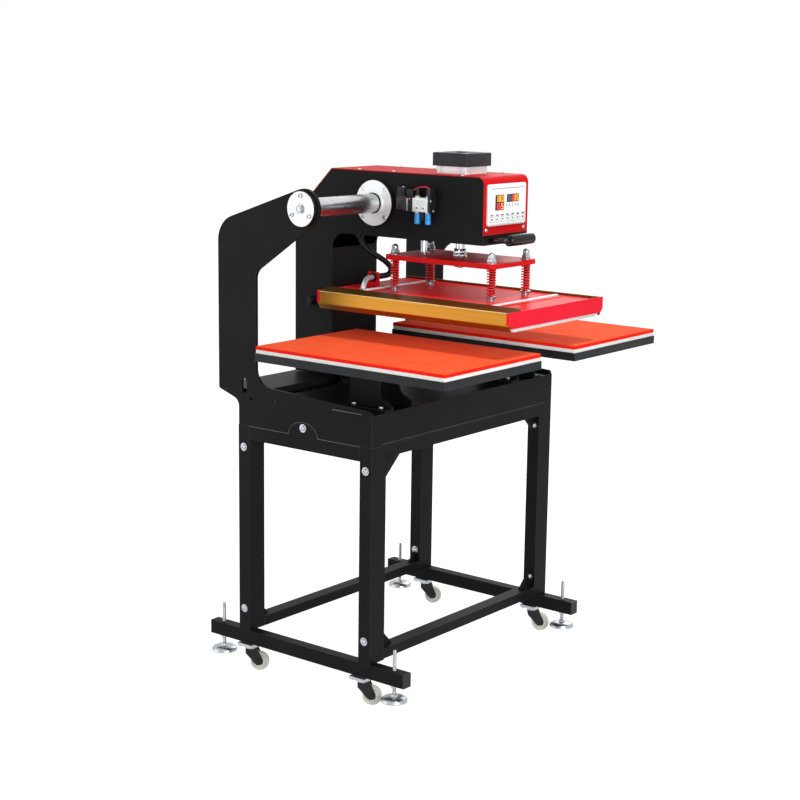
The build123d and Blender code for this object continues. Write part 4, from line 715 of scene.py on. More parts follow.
def thread(place, length, radius, pitch=1.5, depth=0.7):
    """A threaded rod: radius minus depth x a triangle wave of (height / pitch - angle / turn)."""
    first, second, along = axis_frame(UP)
    height = np.linspace(0, length, int(length / pitch * 4) + 1)[:, None]
    angle = np.linspace(0, 2 * np.pi, 20, endpoint=False)
    phase = np.mod(height / pitch - angle / (2 * np.pi), 1.0)
    ends = np.minimum(1.0, np.minimum(height, length - height) / 1.5)
    reach = radius - depth * np.abs(2 * phase - 1) - (1 - ends) * depth
    ring = circle(angle, first, second)
    return shape(np.asarray(place, float) + height[..., None] * along + reach[..., None] * ring)


# %% [markdown]
# ## Fasteners of the stand
# Round headed bolts with washers hold the legs and rails, and hexagon bolts hold the casters
# and the platen feet. Their places are lists of coordinates, mirrored to both sides.

# %% Stand fasteners
SIDE_X, LEG_INNER_X, DISC_X, STATION_X = 402.5, 344.5, 414.5, 278.5
LEG_BOLTS = [(y, z) for y in (-122.0, 296.0) for z in (175.0, 621.0)]
SHELF_BOLTS = [(355.0, 770.0), (181.0, 757.0)]
DISC_BOLTS = [(58.6, 1245.6), (87.2, 1295.1), (115.8, 1245.6)]
CASTERS = {
    "front_left": (-387.5, -108.0), "front_right": (387.5, -108.0),
    "rear_left": (-387.5, 287.0), "rear_right": (387.5, 287.0),
}
FEET = {
    "front_left": (-387.5, -211.0), "front_right": (387.5, -211.0),
    "rear_left": (-387.5, 387.0), "rear_right": (387.5, 387.0),
}
STAND_BOLT = {"radius": 7.5, "height": 4.2, "socket": 2.6}
bolts, dark_bolts = [], []
for side in (-1, 1):
    out, inwards, x = (side, 0, 0), (-side, 0, 0), side * SIDE_X
    bolts += [button_head((x, y, z), out, **STAND_BOLT, washer=1.2) for y, z in LEG_BOLTS]
    dark_bolts += [button_head((x, y, z), out, 4.5, 2.4, 2.0) for y, z in SHELF_BOLTS]
    inner_x = side * LEG_INNER_X
    bolts += [button_head((inner_x, y, z), inwards, **STAND_BOLT, washer=3.2) for y, z in LEG_BOLTS]
    bolts.append(button_head((x, SHAFT_Y, 701.0), out, **STAND_BOLT, washer=1.2))
    bolts += [socket_head((side * DISC_X, y, z), out, 6.0, 4.6, 3.0) for y, z in DISC_BOLTS]
    bolts.append(hexagon_nut((side * DISC_X, SHAFT_Y, SHAFT_Z), out, 19.0, 4.8, 1.2))
    feet = [(side * STATION_X + dx, y) for dx in (-55.0, 55.0) for y in (-114.0, -25.0)]
    bolts += [hexagon_nut((x, y, 770.0), UP, 10.0, 4.0, 0.8) for x, y in feet]
deck_xs = (-295.9, -98.6, 98.6, 295.9)
bolts += [socket_head((x, 231.0, 735.0), FRONT, 5.0, 3.0, 2.4) for x in deck_xs]
for x, y in CASTERS.values():
    corners = [(x + dx, y + dy) for dx in (-21.0, 21.0) for dy in (-18.0, 18.0)]
    bolts += [hexagon_nut((x, y, 71.0), DOWN, 8.0, 3.5) for x, y in corners]
bolts += [hexagon_nut((x, y, 78.0), DOWN, 17.0, 8.0) for x, y in FEET.values()]
stand_bolts = piece("stand_bolts", bolts, zinc_plate, "frame")
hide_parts("frame_fasteners")
piece("shelf_bolts", dark_bolts, black_oxide_steel, "frame")
print("stand bolts", len(bolts) + len(dark_bolts))

# %% [markdown]
# ## Seams and front gusset
# Where folded plates meet a rail, and along a flange on each side plate, a thin pale line is
# painted on as a highlight. Each line is a fine tube that lies on the plate along the joint, and
# the round tab's line is half an ellipse.

# %% Seams and front gusset
UPRIGHT = ((1, 0, 0), (0, 0, 1))
TAB_Y, TAB_Z, TAB_REACH, TAB_RISE = 88.0, 679.8, 50.0, 36.5


def highlight_line(start, end, radius):
    """A straight painted highlight: a thin tube through three points."""
    return tube(np.linspace(start, end, 3), radius, 8)


# Thin pale tubes laid on the plates as painted highlights along their edges and seams.
highlight_lines = []
for side in (-1, 1):
    x = side * SIDE_X
    highlight_lines.append(highlight_line((x, 275.6, 679.4), (x, 138.4, 679.8), 0.5))
    highlight_lines.append(highlight_line((x, 37.6, 679.8), (x, -102.0, 680.6), 0.5))
    along = circle(np.linspace(0, np.pi, 33), (0, TAB_REACH, 0), (0, 0, TAB_RISE))
    highlight_lines.append(tube(along + (x, TAB_Y, TAB_Z), 0.35, 8))
    highlight_lines.append(highlight_line((x, -11.4, 763.8), (x, -108.0, 763.8), 0.8))
highlight_lines.append(highlight_line((-366.0, -141.0, 686.0), (366.0, -141.0, 686.0), 0.3))
piece("plate_painted_highlights", highlight_lines, powder_coat_painted_highlight, "frame")
gusset_outline = np.array(
    [(-350.0, 600.0), (-344.2, 600.0), (-287.6, 651.8), (-287.6, 660.0), (-350.0, 660.0)]
)
gusset = plate(gusset_outline, soft_edge(2.6, 0.5), (0, -138.7, 0), *UPRIGHT)
piece("front_gusset", [gusset], powder_coat_black, "frame")
print("highlight_lines", len(highlight_lines))

# %% [markdown]
# ## Levelling feet
# A levelling foot is a domed steel pad on a threaded stud, with a hexagon to turn it. Each
# foot is one body that screws up and down, so its pad, nut and stud are one piece.

# %% Levelling feet
def levelling_foot(corner, x, y):
    """The pad's dome is a quarter ellipse, with a rolled rim under it and a flat top."""
    sweep = np.linspace(0, np.pi / 2, 9)
    dome = [(13.0 + 21.5 * math.cos(a), 37.0 + 10.0 * math.sin(a)) for a in sweep]
    rim = [(33.6, 33.0), (34.8, 33.6), (35.0, 35.0), (34.9, 36.4)]
    pad = lathe(rim + dome + [(11.0, 47.0)], (x, y, 0), sides=64)
    neck = hexagon_nut((x, y, 47.0), UP, 17.0, 5.0)
    stud = thread((x, y, 52.0), 113.0, 5.0)
    flat = lathe([(3.6, 165.0), (3.6, 168.4), (3.0, 169.0)], (x, y, 0), sides=24, hexed=(0, 1))
    shapes = [pad, neck, stud, flat]
    foot = piece(f"foot_{corner}", shapes, zinc_plate, f"foot_{corner}")
    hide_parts(f"levelling_foot_{corner}")


for corner, (x, y) in FEET.items():
    levelling_foot(corner, x, y)
print("feet", len(FEET))

# %% [markdown]
# ## Caster wheels
# The wheels are moulded nylon: a rounded tread, a thinner web with ribs, and a hub that turns
# on a bolt. The profile runs round the wheel's section as a closed loop, and the web's
# thickness swells six times a turn to make the ribs.

# %% Caster wheels
TRAIL = np.array([0.617, -0.787, 0.0])
AXLE = np.array([-0.787, -0.617, 0.0])
WHEEL_RADIUS, OFFSET = 25.0, 24.0


def caster_wheel(corner, x, y):
    """Profile of (radius, place across) round the section, with ribs in the web's rows."""
    half = [(5.2, 10.0), (9.0, 10.0), (9.6, 9.4), (9.8, 7.4), (18.6, 7.4), (19.2, 9.2),
            (20.2, 10.0), (22.6, 10.0), (24.2, 9.0), (25.0, 6.6), (25.0, 1.0)]
    section = np.array(half + [(r, -w) for r, w in half[::-1]])
    first, second, along = axis_frame(AXLE)
    angle = np.linspace(0, 2 * np.pi, 96, endpoint=False)
    web = (section[:, 0] > 9.7) & (section[:, 0] < 19.0)
    rib = np.clip(np.cos(6 * angle) * 4 - 3.0, 0, 1)
    across = section[:, 1:] + web[:, None] * np.sign(section[:, 1:]) * rib * 1.8
    ring = circle(angle, first, second)
    centre = np.array([x, y, WHEEL_RADIUS]) + OFFSET * TRAIL
    points = centre + across[..., None] * along + section[:, :1, None] * ring
    points, faces, caps = shape(points, loop=True)
    turned = (points, faces[:, ::-1], caps)
    wheel = piece(f"wheel_{corner}", [turned], nylon_white, f"wheel_{corner}")
    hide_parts(f"caster_wheel_{corner}")


for corner, (x, y) in CASTERS.items():
    caster_wheel(corner, x, y)
print("wheels", len(CASTERS))

# %% [markdown]
# ## Shaft discs and bearings
# A turned disc with a dark rim closes each end of the shaft. The head slides on two flanged
# bearings with a raised collar and a rubber seal each, and a plain bush guides the rear rod.

# %% Discs and bearings
HEAD_X = -20.0
DISC_PLACES = ((-SIDE_X, -1), (SIDE_X, 1))
FLANGE_PLACES = ((-117.0, -1), (77.0, 1))


def on_shaft(profile, places, sides=96):
    """The same turned shape at several x places on the shaft's line, each facing -x or +x."""
    return [lathe(profile, (x, SHAFT_Y, SHAFT_Z), (way, 0, 0), sides) for x, way in places]


disc_profile = [(44.2, 10.4), (44.2, 11.6), (43.8, 12.0), (19.0, 12.0), (18.4, 11.4), (15.6, 11.4),
                (15.0, 12.0)]
discs = on_shaft(disc_profile, DISC_PLACES)
shaft_discs = piece("shaft_discs", discs, turned_aluminium, "frame")
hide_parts("shaft_end_discs")
rims = on_shaft([(45.0, 0), (45.0, 10.8), (44.4, 11.2)], DISC_PLACES)
piece("disc_rims", rims, black_oxide_steel, "frame")

flange_profile = [(59.7, 8.4), (59.7, 9.6), (59.3, 10.0), (33.5, 10.0), (33.0, 12.2), (32.2, 12.8),
                  (26.4, 12.8), (25.6, 11.6), (25.3, 2.0)]
bearings = on_shaft(flange_profile, FLANGE_PLACES)
bush = [(9.0, 1168.0), (19.0, 1168.0), (20.0, 1168.6), (20.0, 1174.0), (11.0, 1174.0),
        (11.0, 1290.0)]
bearings.append(lathe(bush, (HEAD_X, 0, 0), sides=64))
bearing_set = piece("bearing_set", bearings, turned_aluminium, "head")
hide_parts("shaft_bearings")
flange_rims = on_shaft([(60.5, 0), (60.5, 8.8), (59.9, 9.2)], FLANGE_PLACES)
piece("flange_rims", flange_rims, black_oxide_steel, "head")
seals = on_shaft([(27.6, 0), (27.6, 13.4), (25.2, 13.4), (25.2, 0)], FLANGE_PLACES, 64)
piece("bearing_seals", seals, rubber_black, "head")
print("discs and bearings done")

# %% [markdown]
# ## Screws of the head
# Domed screws hold the cover along its top edges and at its front corners. The bearing screws
# sit in counterbores, and four hexagon bolts hold the lower carriage.

# %% Head screws
HEAD_TOP, HEAD_FRONT = 1346.0, -262.5
cover_places = [(x, y) for x in (-109.0, 69.0) for y in (-187.5, 35.0, 150.0)]
screws = [button_head((x, y, HEAD_TOP), UP, 4.4, 2.6, 1.6) for x, y in cover_places]
screws += [button_head((x, HEAD_FRONT, 1212.0), FRONT, 5.6, 3.4, 1.8) for x in (-107.0, 57.5)]
for y, z in [(SHAFT_Y + dy, SHAFT_Z + dz) for dy in (-36.1, 36.1) for dz in (-36.1, 36.1)]:
    screws.append(socket_head((-126.6, y, z), LEFT, 6.4, 1.6, 3.2))
    screws.append(socket_head((86.6, y, z), (1, 0, 0), 6.4, 1.6, 3.2))
carriage_places = [(x, z) for x in (-65.0, 25.0) for z in (810.0, 835.0)]
screws += [hexagon_nut((x, 212.7, z), FRONT, 13.0, 4.2, 0.8) for x, z in carriage_places]
head_fixings = piece("head_fixings", screws, zinc_plate, "head")
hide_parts("head_screws")
print("head screws", len(screws))

# %% [markdown]
# ## Air cylinder
# The barrel is a drawn aluminium section with two grooves on each side. Its outline is one
# side's points, turned four times, and it is extruded straight up between two square heads.

# %% Cylinder
CYLINDER = (HEAD_X, -120.0)


def grooved_square(half, groove_at, groove, depth, corner):
    """The side at +x from bottom to top, with two grooves and a round corner at its end, then
    the same points turned by quarters."""
    side = []
    for centre in (-groove_at, groove_at):
        side += [(half, centre - groove), (half - depth, centre - groove * 0.8),
                 (half - depth, centre + groove * 0.8), (half, centre + groove)]
    round_corner = circle(np.linspace(0, np.pi / 2, 6)) * corner + half - corner
    side = np.concatenate((np.array(side), round_corner))
    return np.concatenate([side @ turned.T for turned in QUARTER_TURNS])


barrel_outline = grooved_square(48.0, 30.0, 3.0, 2.6, 5.0)
barrel = plate(barrel_outline, [(0, 0), (0, 167.0)], (*CYLINDER, 1199.0))
cylinder_barrel = piece(
    "cylinder_barrel", [barrel], drawn_aluminium, "head", 25
)
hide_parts("cylinder_body")

cap_edge = [(0.6, 0), (0, 0.6), (0, 31.6), (0.5, 33.0), (1.8, 34.0)]
caps = [
    plate(rounded_outline(111.0, 111.0, 5.0), cap_edge, (*CYLINDER, 1365.0)),
    plate(rounded_outline(96.0, 96.0, 5.0), [(0, 0), (0, 18.0)], (*CYLINDER, 1182.0)),
    lathe([(15.0, 0), (15.0, 1.6), (14.0, 2.4), (9.4, 2.4)], (*CYLINDER, 1399.0), sides=40),
]
cap_piece = piece("cylinder_heads", caps, cylinder_cap_grey, "head")
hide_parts("cylinder_caps")
plugs = [socket_head((*CYLINDER, 1399.6), UP, 7.0, 3.2, 3.4)]
for dx, dy in [(x, y) for x in (-40.0, 40.0) for y in (-40.0, 40.0)]:
    plugs.append(socket_head((CYLINDER[0] + dx, CYLINDER[1] + dy, 1398.2), UP, 6.5, 1.8, 3.2))
piece("cylinder_bolts", plugs, zinc_plate, "head")
print("cylinder done")

# %% [markdown]
# ## Handle grip
# The grip is dense black foam on the bar, with a slight swell and closed ends.

# %% Handle grip
GRIP_START, GRIP_LENGTH = (-73.0, -308.0, 1187.5), 106.0
along = np.linspace(0, 1, 33)
swell = 14.5 + 0.5 * np.sin(np.pi * along)
ends = np.minimum(1, np.minimum(along, 1 - along) / 0.035)
radius = swell * (0.78 + 0.22 * np.sqrt(1 - (1 - ends) ** 2))
grip_shape = lathe(np.stack((radius, along * GRIP_LENGTH), axis=1), GRIP_START, (1, 0, 0))
grip = piece("grip", [grip_shape], grip_foam, "head")
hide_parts("handle_grip")
print("grip done")

# %% [markdown]
# ## Control panel
# The panel is a white moulded bezel under a printed film. Two smoked windows show lit seven
# segment digits, and seven outlined keys with plain arrow signs lie below. Every print is a
# thin film of its own, about a tenth of a millimetre thick, so it exports as a shape too.

# %% Panel body
PANEL_X, PANEL_Z = (-106.0, 62.0), (1222.0, 1327.0)
PANEL_FACE = -268.5
PRINT_LIFT, DIGIT_LIFT = 0.24, 0.46


def film(x, z, lift, corner, thickness=0.12):
    """A flat rounded rectangle on the panel's face, between two x and two z places."""
    outline = rounded_outline(x[1] - x[0], z[1] - z[0], corner, 3)
    place = (sum(x) / 2, PANEL_FACE - lift + 0.1, sum(z) / 2)
    return plate(outline, [(0, 0), (0, thickness)], place, *UPRIGHT)


def frame_film(x, z, line):
    """Four thin films that draw a rectangle's outline."""
    sides = ((x, (z[0], z[0] + line)), (x, (z[1] - line, z[1])))
    sides += (((x[0], x[0] + line), z), ((x[1] - line, x[1]), z))
    return [film(across, upwards, PRINT_LIFT, 0.1) for across, upwards in sides]


bezel_outline = rounded_outline(PANEL_X[1] - PANEL_X[0], PANEL_Z[1] - PANEL_Z[0], 7.0)
bezel_edge = [(0, 0), (0, 3.6), (0.5, 4.2), (4.2, 6.0)]
bezel_centre = (sum(PANEL_X) / 2, HEAD_FRONT, sum(PANEL_Z) / 2)
bezel = plate(bezel_outline, bezel_edge, bezel_centre, *UPRIGHT)
panel = piece("panel_bezel", [bezel], overlay_white, "head", 12)
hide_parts("control_panel")
sheet = film((-98.0, 54.0), (1229.0, 1320.0), 0.12, 3.0)
piece("panel_film", [sheet], film_pale, "head")

# %% Panel print and displays
KEY_Z = 1239.0
KEY_XS = [-90.5 + 22.83 * number for number in range(7)]
print_lines = [film((-94.0, 50.0), (1315.0, 1316.4), PRINT_LIFT, 0.1)]
for key_x in KEY_XS:
    print_lines += frame_film((key_x - 8.0, key_x + 8.0), (1231.6, 1245.8), 0.9)
    print_lines.append(film((key_x - 6.0, key_x + 6.0), (1247.6, 1251.0), PRINT_LIFT, 0.3))
for mark in (-30.0, -17.5, -5.0, 7.5, 20.0):
    print_lines.append(film((mark, mark + 7.0), (1270.0, 1271.6), PRINT_LIFT, 0.3))
    print_lines.append(film((mark + 2.0, mark + 5.0), (1273.0, 1276.0), PRINT_LIFT, 0.8))


def arrow(key_x, way):
    """A triangle that points up, down or right, as a thin film."""
    outline = circle(np.arange(3) * 2 * np.pi / 3 + math.radians(way)) * 4.4
    return plate(outline, [(0, 0), (0, 0.12)], (key_x, PANEL_FACE - 0.14, KEY_Z), *UPRIGHT)


signs = [arrow(x, way) for x, way in zip(KEY_XS[1:6], (90, -90, 90, -90, 0))]
signs += [lathe([(3.2, 0), (3.2, 0.12)], (x, PANEL_FACE - 0.14, KEY_Z), FRONT, 24)
          for x in (KEY_XS[0], KEY_XS[6])]
piece("panel_print", print_lines + signs, ink_grey, "head")

WINDOWS = (((-77.0, -39.0), (1261.0, 1300.0)), ((-27.0, 26.0), (1280.0, 1300.0)))
glass = [film(x, z, 0.3, 1.2, 0.25) for x, z in WINDOWS]
piece("display_windows", glass, smoked_acrylic, "head")

SEGMENTS = {"0": "abcdef", "1": "bc", "2": "abged", "5": "afgcd", "6": "afgedc", "8": "abcdefg"}


def digit(text, x, z, width, height, line=2.3):
    """The lit bars of one seven segment digit, whose lower left corner is at (x, z)."""
    mid, top, far = z + height / 2, z + height, x + width
    bars = {
        "a": ((x, far), (top - line, top)), "d": ((x, far), (z, z + line)),
        "g": ((x, far), (mid - line / 2, mid + line / 2)),
        "b": ((far - line, far), (mid, top)), "c": ((far - line, far), (z, mid)),
        "f": ((x, x + line), (mid, top)), "e": ((x, x + line), (z, mid)),
    }
    return [film(*bars[name], DIGIT_LIFT, 0.4) for name in SEGMENTS[text]]


def number_row(text, x, z, width, height, pitch):
    """A row of digits with an even pitch."""
    digits = [digit(sign, x + i * pitch, z, width, height) for i, sign in enumerate(text)]
    return sum(digits, [])


LARGE, SMALL = (8.6, 15.0, 11.9), (6.6, 14.6, 9.6)
amber = number_row("180", -74.5, 1282.5, *LARGE) + number_row("05", 7.0, 1282.6, 7.0, 14.6, 9.6)
amber += number_row("5", -50.7, 1263.4, *LARGE)
red = number_row("16", -74.5, 1263.4, *LARGE) + number_row("2", -3.0, 1282.6, *SMALL)
grey = number_row("18", -24.0, 1282.6, *SMALL)
piece("display_amber", amber, lit_amber, "head")
piece("display_red", red, lit_red, "head")
piece("display_grey", grey, unlit_grey, "head")
print("panel done")

# %% [markdown]
# ## Air valve
# The valve is a machined aluminium block on a bent bracket, with a coil and a ribbed plug at
# its rear, a black end block at its front, and push-in fittings with blue collars below. Small
# boxes with rounded edges and turned shapes make up all of it.

# %% Valve blocks
VALVE_X = -132.5
bracket = [
    rounded_box((-119.0, -113.5, 1246.0), (-117.0, -7.0, 1288.0), 0.6),
    rounded_box((-146.0, -113.5, 1246.0), (-117.0, -111.5, 1288.0), 0.6),
]
valve_bracket = piece("valve_bracket", bracket, black_oxide_steel, "head")

end_block = [
    rounded_box((-146.5, -112.0, 1249.5), (-119.0, -106.2, 1286.0), 1.2),
    rounded_box((-145.5, -111.5, 1285.0), (-120.0, -103.5, 1309.0), 3.6),
]
piece("valve_end_block", end_block, epoxy_coil, "head")

ports = [(-93.0, 1260.0), (-72.0, 1260.0)]
body = [rounded_box((-146.0, -106.0, 1250.0), (-119.0, -57.0, 1285.0), 1.2)]
body += [rounded_box((-146.6, -103.0, 1277.0), (-145.0, -60.0, 1281.0), 0.5)]
body += [lathe([(5.2, 0), (5.2, 0.5), (4.4, 0.9)], (-146.0, y, z), LEFT, 32) for y, z in ports]
piece("valve_body", body, drawn_aluminium, "head")
slots = [
    rounded_box((-147.2, y - 3.4, z - 0.7), (-146.6, y + 3.4, z + 0.7), 0.25) for y, z in ports
]
slots += [lathe([(2.2, 0), (2.2, 0.25)], (-146.9, y, z), LEFT, 16) for y, z in ports]
piece("valve_slots", slots, epoxy_coil, "head")

coil = [
    rounded_box((-150.0, -37.0, 1253.0), (-119.0, -7.0, 1284.0), 2.6),
    rounded_box((-148.0, -36.0, 1283.0), (-121.0, -8.0, 1288.0), 1.2),
]
for number in range(6):
    taper, z = 0.4 * number, 1288.0 + 3.6 * number
    coil.append(rounded_box((-146.5 + taper, -29.5, z), (-122.5 - taper, -5.5, z + 2.4), 0.8))
coil.append(rounded_box((-144.0, -28.0, 1287.0), (-125.0, -7.0, 1310.0), 2.0))
spigot = [(7.0, 0), (7.0, 10.0), (5.6, 12.0), (4.2, 12.0)]
coil.append(lathe(spigot, (VALVE_X, -28.0, 1299.0), FRONT, 24))
valve_coil = piece("valve_coil", coil, epoxy_coil, "head")
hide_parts("solenoid_valve")
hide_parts("solenoid_valve")

core = [rounded_box((-145.0, -57.2, 1252.0), (-119.0, -41.0, 1283.0), 1.6),
        rounded_box((-143.0, -54.0, 1282.0), (-123.0, -34.0, 1306.0), 3.0)]
piece("valve_core", core, plastic_black, "head")
washers = [
    rounded_box((-147.0, -41.2, 1251.5), (-120.0, -38.6, 1283.5), 0.6),
    button_head((VALVE_X, -17.0, 1310.0), UP, 3.2, 1.8, 1.2),
    button_head((-131.0, -113.5, 1253.0), FRONT, 3.2, 2.0, 1.3),
    button_head((-142.0, -113.5, 1279.0), FRONT, 3.2, 2.0, 1.3),
]
piece("valve_screws", washers, zinc_plate, "head")
lamp_lens = lathe([(2.4, 0), (2.4, 1.4), (1.6, 2.4)], (-144.0, -47.0, 1281.0), UP, 20)
piece("valve_lamp", [lamp_lens], lit_red, "head")
print("valve done")

# %% Fittings, muffler and wire
collar_profile = [(7.2, 0), (7.4, 1.0), (7.6, 13.5), (7.0, 14.2), (7.0, 15.6), (7.6, 16.4),
                  (7.6, 26.0), (6.4, 27.4), (4.2, 27.4), (4.0, 20.0)]
top_profile = [(5.6, 0), (5.6, 11.0), (6.4, 11.6), (6.4, 15.2), (5.4, 16.4), (3.6, 16.4),
               (3.6, 12.0)]
collars, stems, rings, tops = [], [], [], []
for y in (-98.0, -64.0):
    stems.append(hexagon_nut((VALVE_X, y, 1250.0), DOWN, 13.0, 5.0))
    collars.append(lathe(collar_profile, (VALVE_X, y, 1245.0), DOWN, 40))
    stems.append(hexagon_nut((VALVE_X, y, 1285.0), UP, 12.0, 4.0))
    rings.append(lathe([(6.2, 0), (6.2, 2.2), (5.4, 2.6)], (VALVE_X, y, 1289.0), UP, 32))
    tops.append(lathe(top_profile, (VALVE_X, y, 1291.5), UP, 32))
blue_collars = piece("fitting_collars", collars, fitting_blue, "head")
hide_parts("air_fittings")
piece("fitting_nuts", stems, zinc_plate, "head")
piece("fitting_rings", rings, brass_sinter, "head")
piece("fitting_tops", tops, plastic_black, "head")
muffler = [
    hexagon_nut((VALVE_X, -81.0, 1250.0), DOWN, 10.0, 5.0),
    lathe([(4.6, 5.0), (4.8, 5.6), (4.8, 21.0), (3.4, 24.0)], (VALVE_X, -81.0, 1250.0), DOWN, 32),
]
piece("muffler", muffler, black_oxide_steel, "head")

wire_route = [(-135.5, -52.0, 1303.0), (-135.5, -62.0, 1309.0), (-135.5, -76.0, 1313.0),
              (-135.5, -92.0, 1314.0), (-134.5, -103.0, 1310.5), (-134.5, -108.0, 1305.0)]
wire_line = smooth_path("wire_line", wire_route)
piece("valve_wire", [tube(wire_line, 1.3, 12)], wire_red, "head")
print("fittings done")

# %% [markdown]
# ## Posts, spacers and nuts on the heater
# Four posts rise from the heating plate through the press plate. Each has a flanged spacer
# below its spring and a washer and domed nut above the plate.

# %% Post hardware
POSTS = [(x, y) for x in (-97.0, 57.0) for y in (-276.0, 36.0)]
COVER_TOP, PLATE_TOP = 1032.5, 1129.0
hardware, studs = [], []
spacer_profile = [(10.4, 0), (10.6, 0.8), (9.4, 1.4), (9.4, 4.0), (10.2, 4.4), (10.2, 9.2),
                  (12.9, 9.8), (13.2, 10.4), (13.2, 13.6), (12.8, 14.0)]
washer_profile = [(13.5, 0.2), (13.5, 1.9), (13.1, 2.3)]
nut_profile = [(10.6, 2.2), (11.0, 2.9), (11.0, 10.6), (10.4, 11.4), (8.4, 11.6), (8.6, 12.2),
               (8.9, 18.6)]
dome = circle(np.linspace(0, np.pi / 2 - 0.12, 8)) * (8.9, 8.6) + (0, 19.4)
nut_profile = np.concatenate((nut_profile, dome))
for x, y in POSTS:
    studs.append(thread((x, y, 994.0), 142.0, 6.0, 1.75, 0.6))
    hardware.append(lathe(spacer_profile, (x, y, COVER_TOP), sides=40))
    hardware.append(lathe(washer_profile, (x, y, PLATE_TOP), sides=40))
    hardware.append(lathe(nut_profile, (x, y, PLATE_TOP), sides=48, hexed=(0, 1, 2, 3, 5, 6)))
post_set = piece("post_set", hardware, zinc_plate, "heater")
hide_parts("post_hardware")
piece("post_studs", studs, black_oxide_steel, "heater")
print("posts", len(POSTS))

# %% [markdown]
# ## Heating plate and trim
# The heating plate is a thick cast slab whose face stands a little proud. Raised strips and a
# band lie on the cover, crimson tongues wrap its corners, and a pale gold bead along the top of
# each gold skirt is a painted highlight.

# %% Heating plate and trim
low, high = (np.array(corner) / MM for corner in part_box("heater_block"))
print("heating plate", low.round(1), high.round(1))
heating_plate = [
    rounded_box(low + (0, 0, 3.6), high, 1.0),
    rounded_box(low + (11.0, 0.6, 0), (high[0] - 11.0, high[1] - 0.6, low[2] + 4.2), 1.0),
]
slab = piece("heating_plate", heating_plate, cast_heating_plate, "heater")
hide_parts("heater_block")

strips = [
    rounded_box((x, y, COVER_TOP - 0.1), (far, y + 9.0, COVER_TOP + 4.2), 0.8)
    for x, far, y in ((-174.0, 120.0, -337.0), (-158.0, 106.0, 86.0))
]
piece("cover_strips", strips, steel_white_paint, "heater")
band = [rounded_box((-168.0, -356.0, COVER_TOP - 0.2), (118.0, -342.0, COVER_TOP + 1.6), 0.8)]
piece("cover_band", band, enamel_red, "heater")

wrap_places = [(x, y) for x in (-232.2, 192.2) for y in (-424.2, 184.7)]
wraps = [
    rounded_box((x - 0.5, y - 5.2, 1001.0), (x + 0.5, y + 5.2, 1030.8), 0.4)
    for x, y in wrap_places
]
piece("end_wraps", wraps, enamel_crimson, "heater")
# A pale gold bead along each skirt's top edge is a painted highlight.
edges = [
    rounded_box((x - 0.6, -418.0, 1029.9), (x + 0.6, 178.6, 1031.5), 0.5) for x in (-231.9, 191.9)
]
piece("skirt_painted_highlights", edges, gold_painted_highlight, "heater")
print("heater trim done")

# %% [markdown]
# ## Springs
# Each spring is one wire wound in even curls, with its end curls closed up so that it stands
# flat. The height is the turn times the pitch, slowed near both ends. The springs stand
# between the heater and the press plate, and ride on neither body.

# %% Springs
SPRING_LOW, SPRING_HIGH = 1046.5, 1117.0
TURNS, SPRING_RADIUS, WIRE_RADIUS = 10.5, 10.4, 2.0


def spring_path(x, y):
    """A helix: angle = 2 pi x turn, height = a smooth step of the turn between the wire's ends."""
    turn = np.linspace(0, TURNS, int(TURNS * 44) + 1)
    speed = 0.45 + 0.55 * np.clip(np.minimum(turn, TURNS - turn) / 1.2, 0, 1) ** 1.5
    rise = np.concatenate(([0], np.cumsum((speed[1:] + speed[:-1]) / 2)))
    height = rise / rise[-1] * (SPRING_HIGH - SPRING_LOW - 2 * WIRE_RADIUS)
    ring = circle(2 * np.pi * turn) * SPRING_RADIUS
    return np.column_stack((ring, height)) + (x, y, SPRING_LOW + WIRE_RADIUS)


coils = [tube(spring_path(x, y), WIRE_RADIUS, 12) for x, y in POSTS]
springs = piece("spring_set", coils, powder_coat_spring, None, 60)
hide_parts("springs")
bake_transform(springs)
print("springs done")

# %% [markdown]
# ## Press rods
# The piston rod ends in a stack of lock nuts on the press plate, with a nut below it. A flanged
# guide rod behind it keeps the plate from turning.

# %% Press rods
PLATE_FOOT = 1117.0
guide_profile = [(16.0, PLATE_TOP), (16.0, 1131.6), (15.4, 1132.4), (8.6, 1132.6), (8.5, 1134.0),
                 (8.5, 1289.0), (7.8, 1290.0)]
rods = [
    lathe([(12.5, PLATE_TOP), (12.5, 1340.0)], (*CYLINDER, 0), sides=48),
    lathe([(18.5, PLATE_TOP), (18.5, 1130.6), (18.0, 1131.2)], (*CYLINDER, 0), sides=48),
    hexagon_nut((*CYLINDER, 1131.0), UP, 31.0, 9.0),
    hexagon_nut((*CYLINDER, 1140.6), UP, 32.0, 9.4),
    hexagon_nut((*CYLINDER, PLATE_FOOT), DOWN, 28.0, 13.0, 2.0),
    thread((*CYLINDER, 1100.0), 18.0, 8.0),
    lathe(guide_profile, (HEAD_X, 0, 0), sides=48),
    hexagon_nut((HEAD_X, 0, PLATE_FOOT), DOWN, 28.0, 8.0, 2.0),
    thread((HEAD_X, 0, 1104.0), 14.0, 8.0),
]
rod_set = piece("rod_set", rods, chrome_bright, "ram")
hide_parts("press_rods")
print("rods done")

# %% [markdown]
# ## Power conduit
# A ribbed black conduit carries the heater's power. It drops from a gland under the head, bows
# forward and enters a rubber ring in the red bracket. Its line is one smooth curve with fine
# ribs, a wave of the length along it.

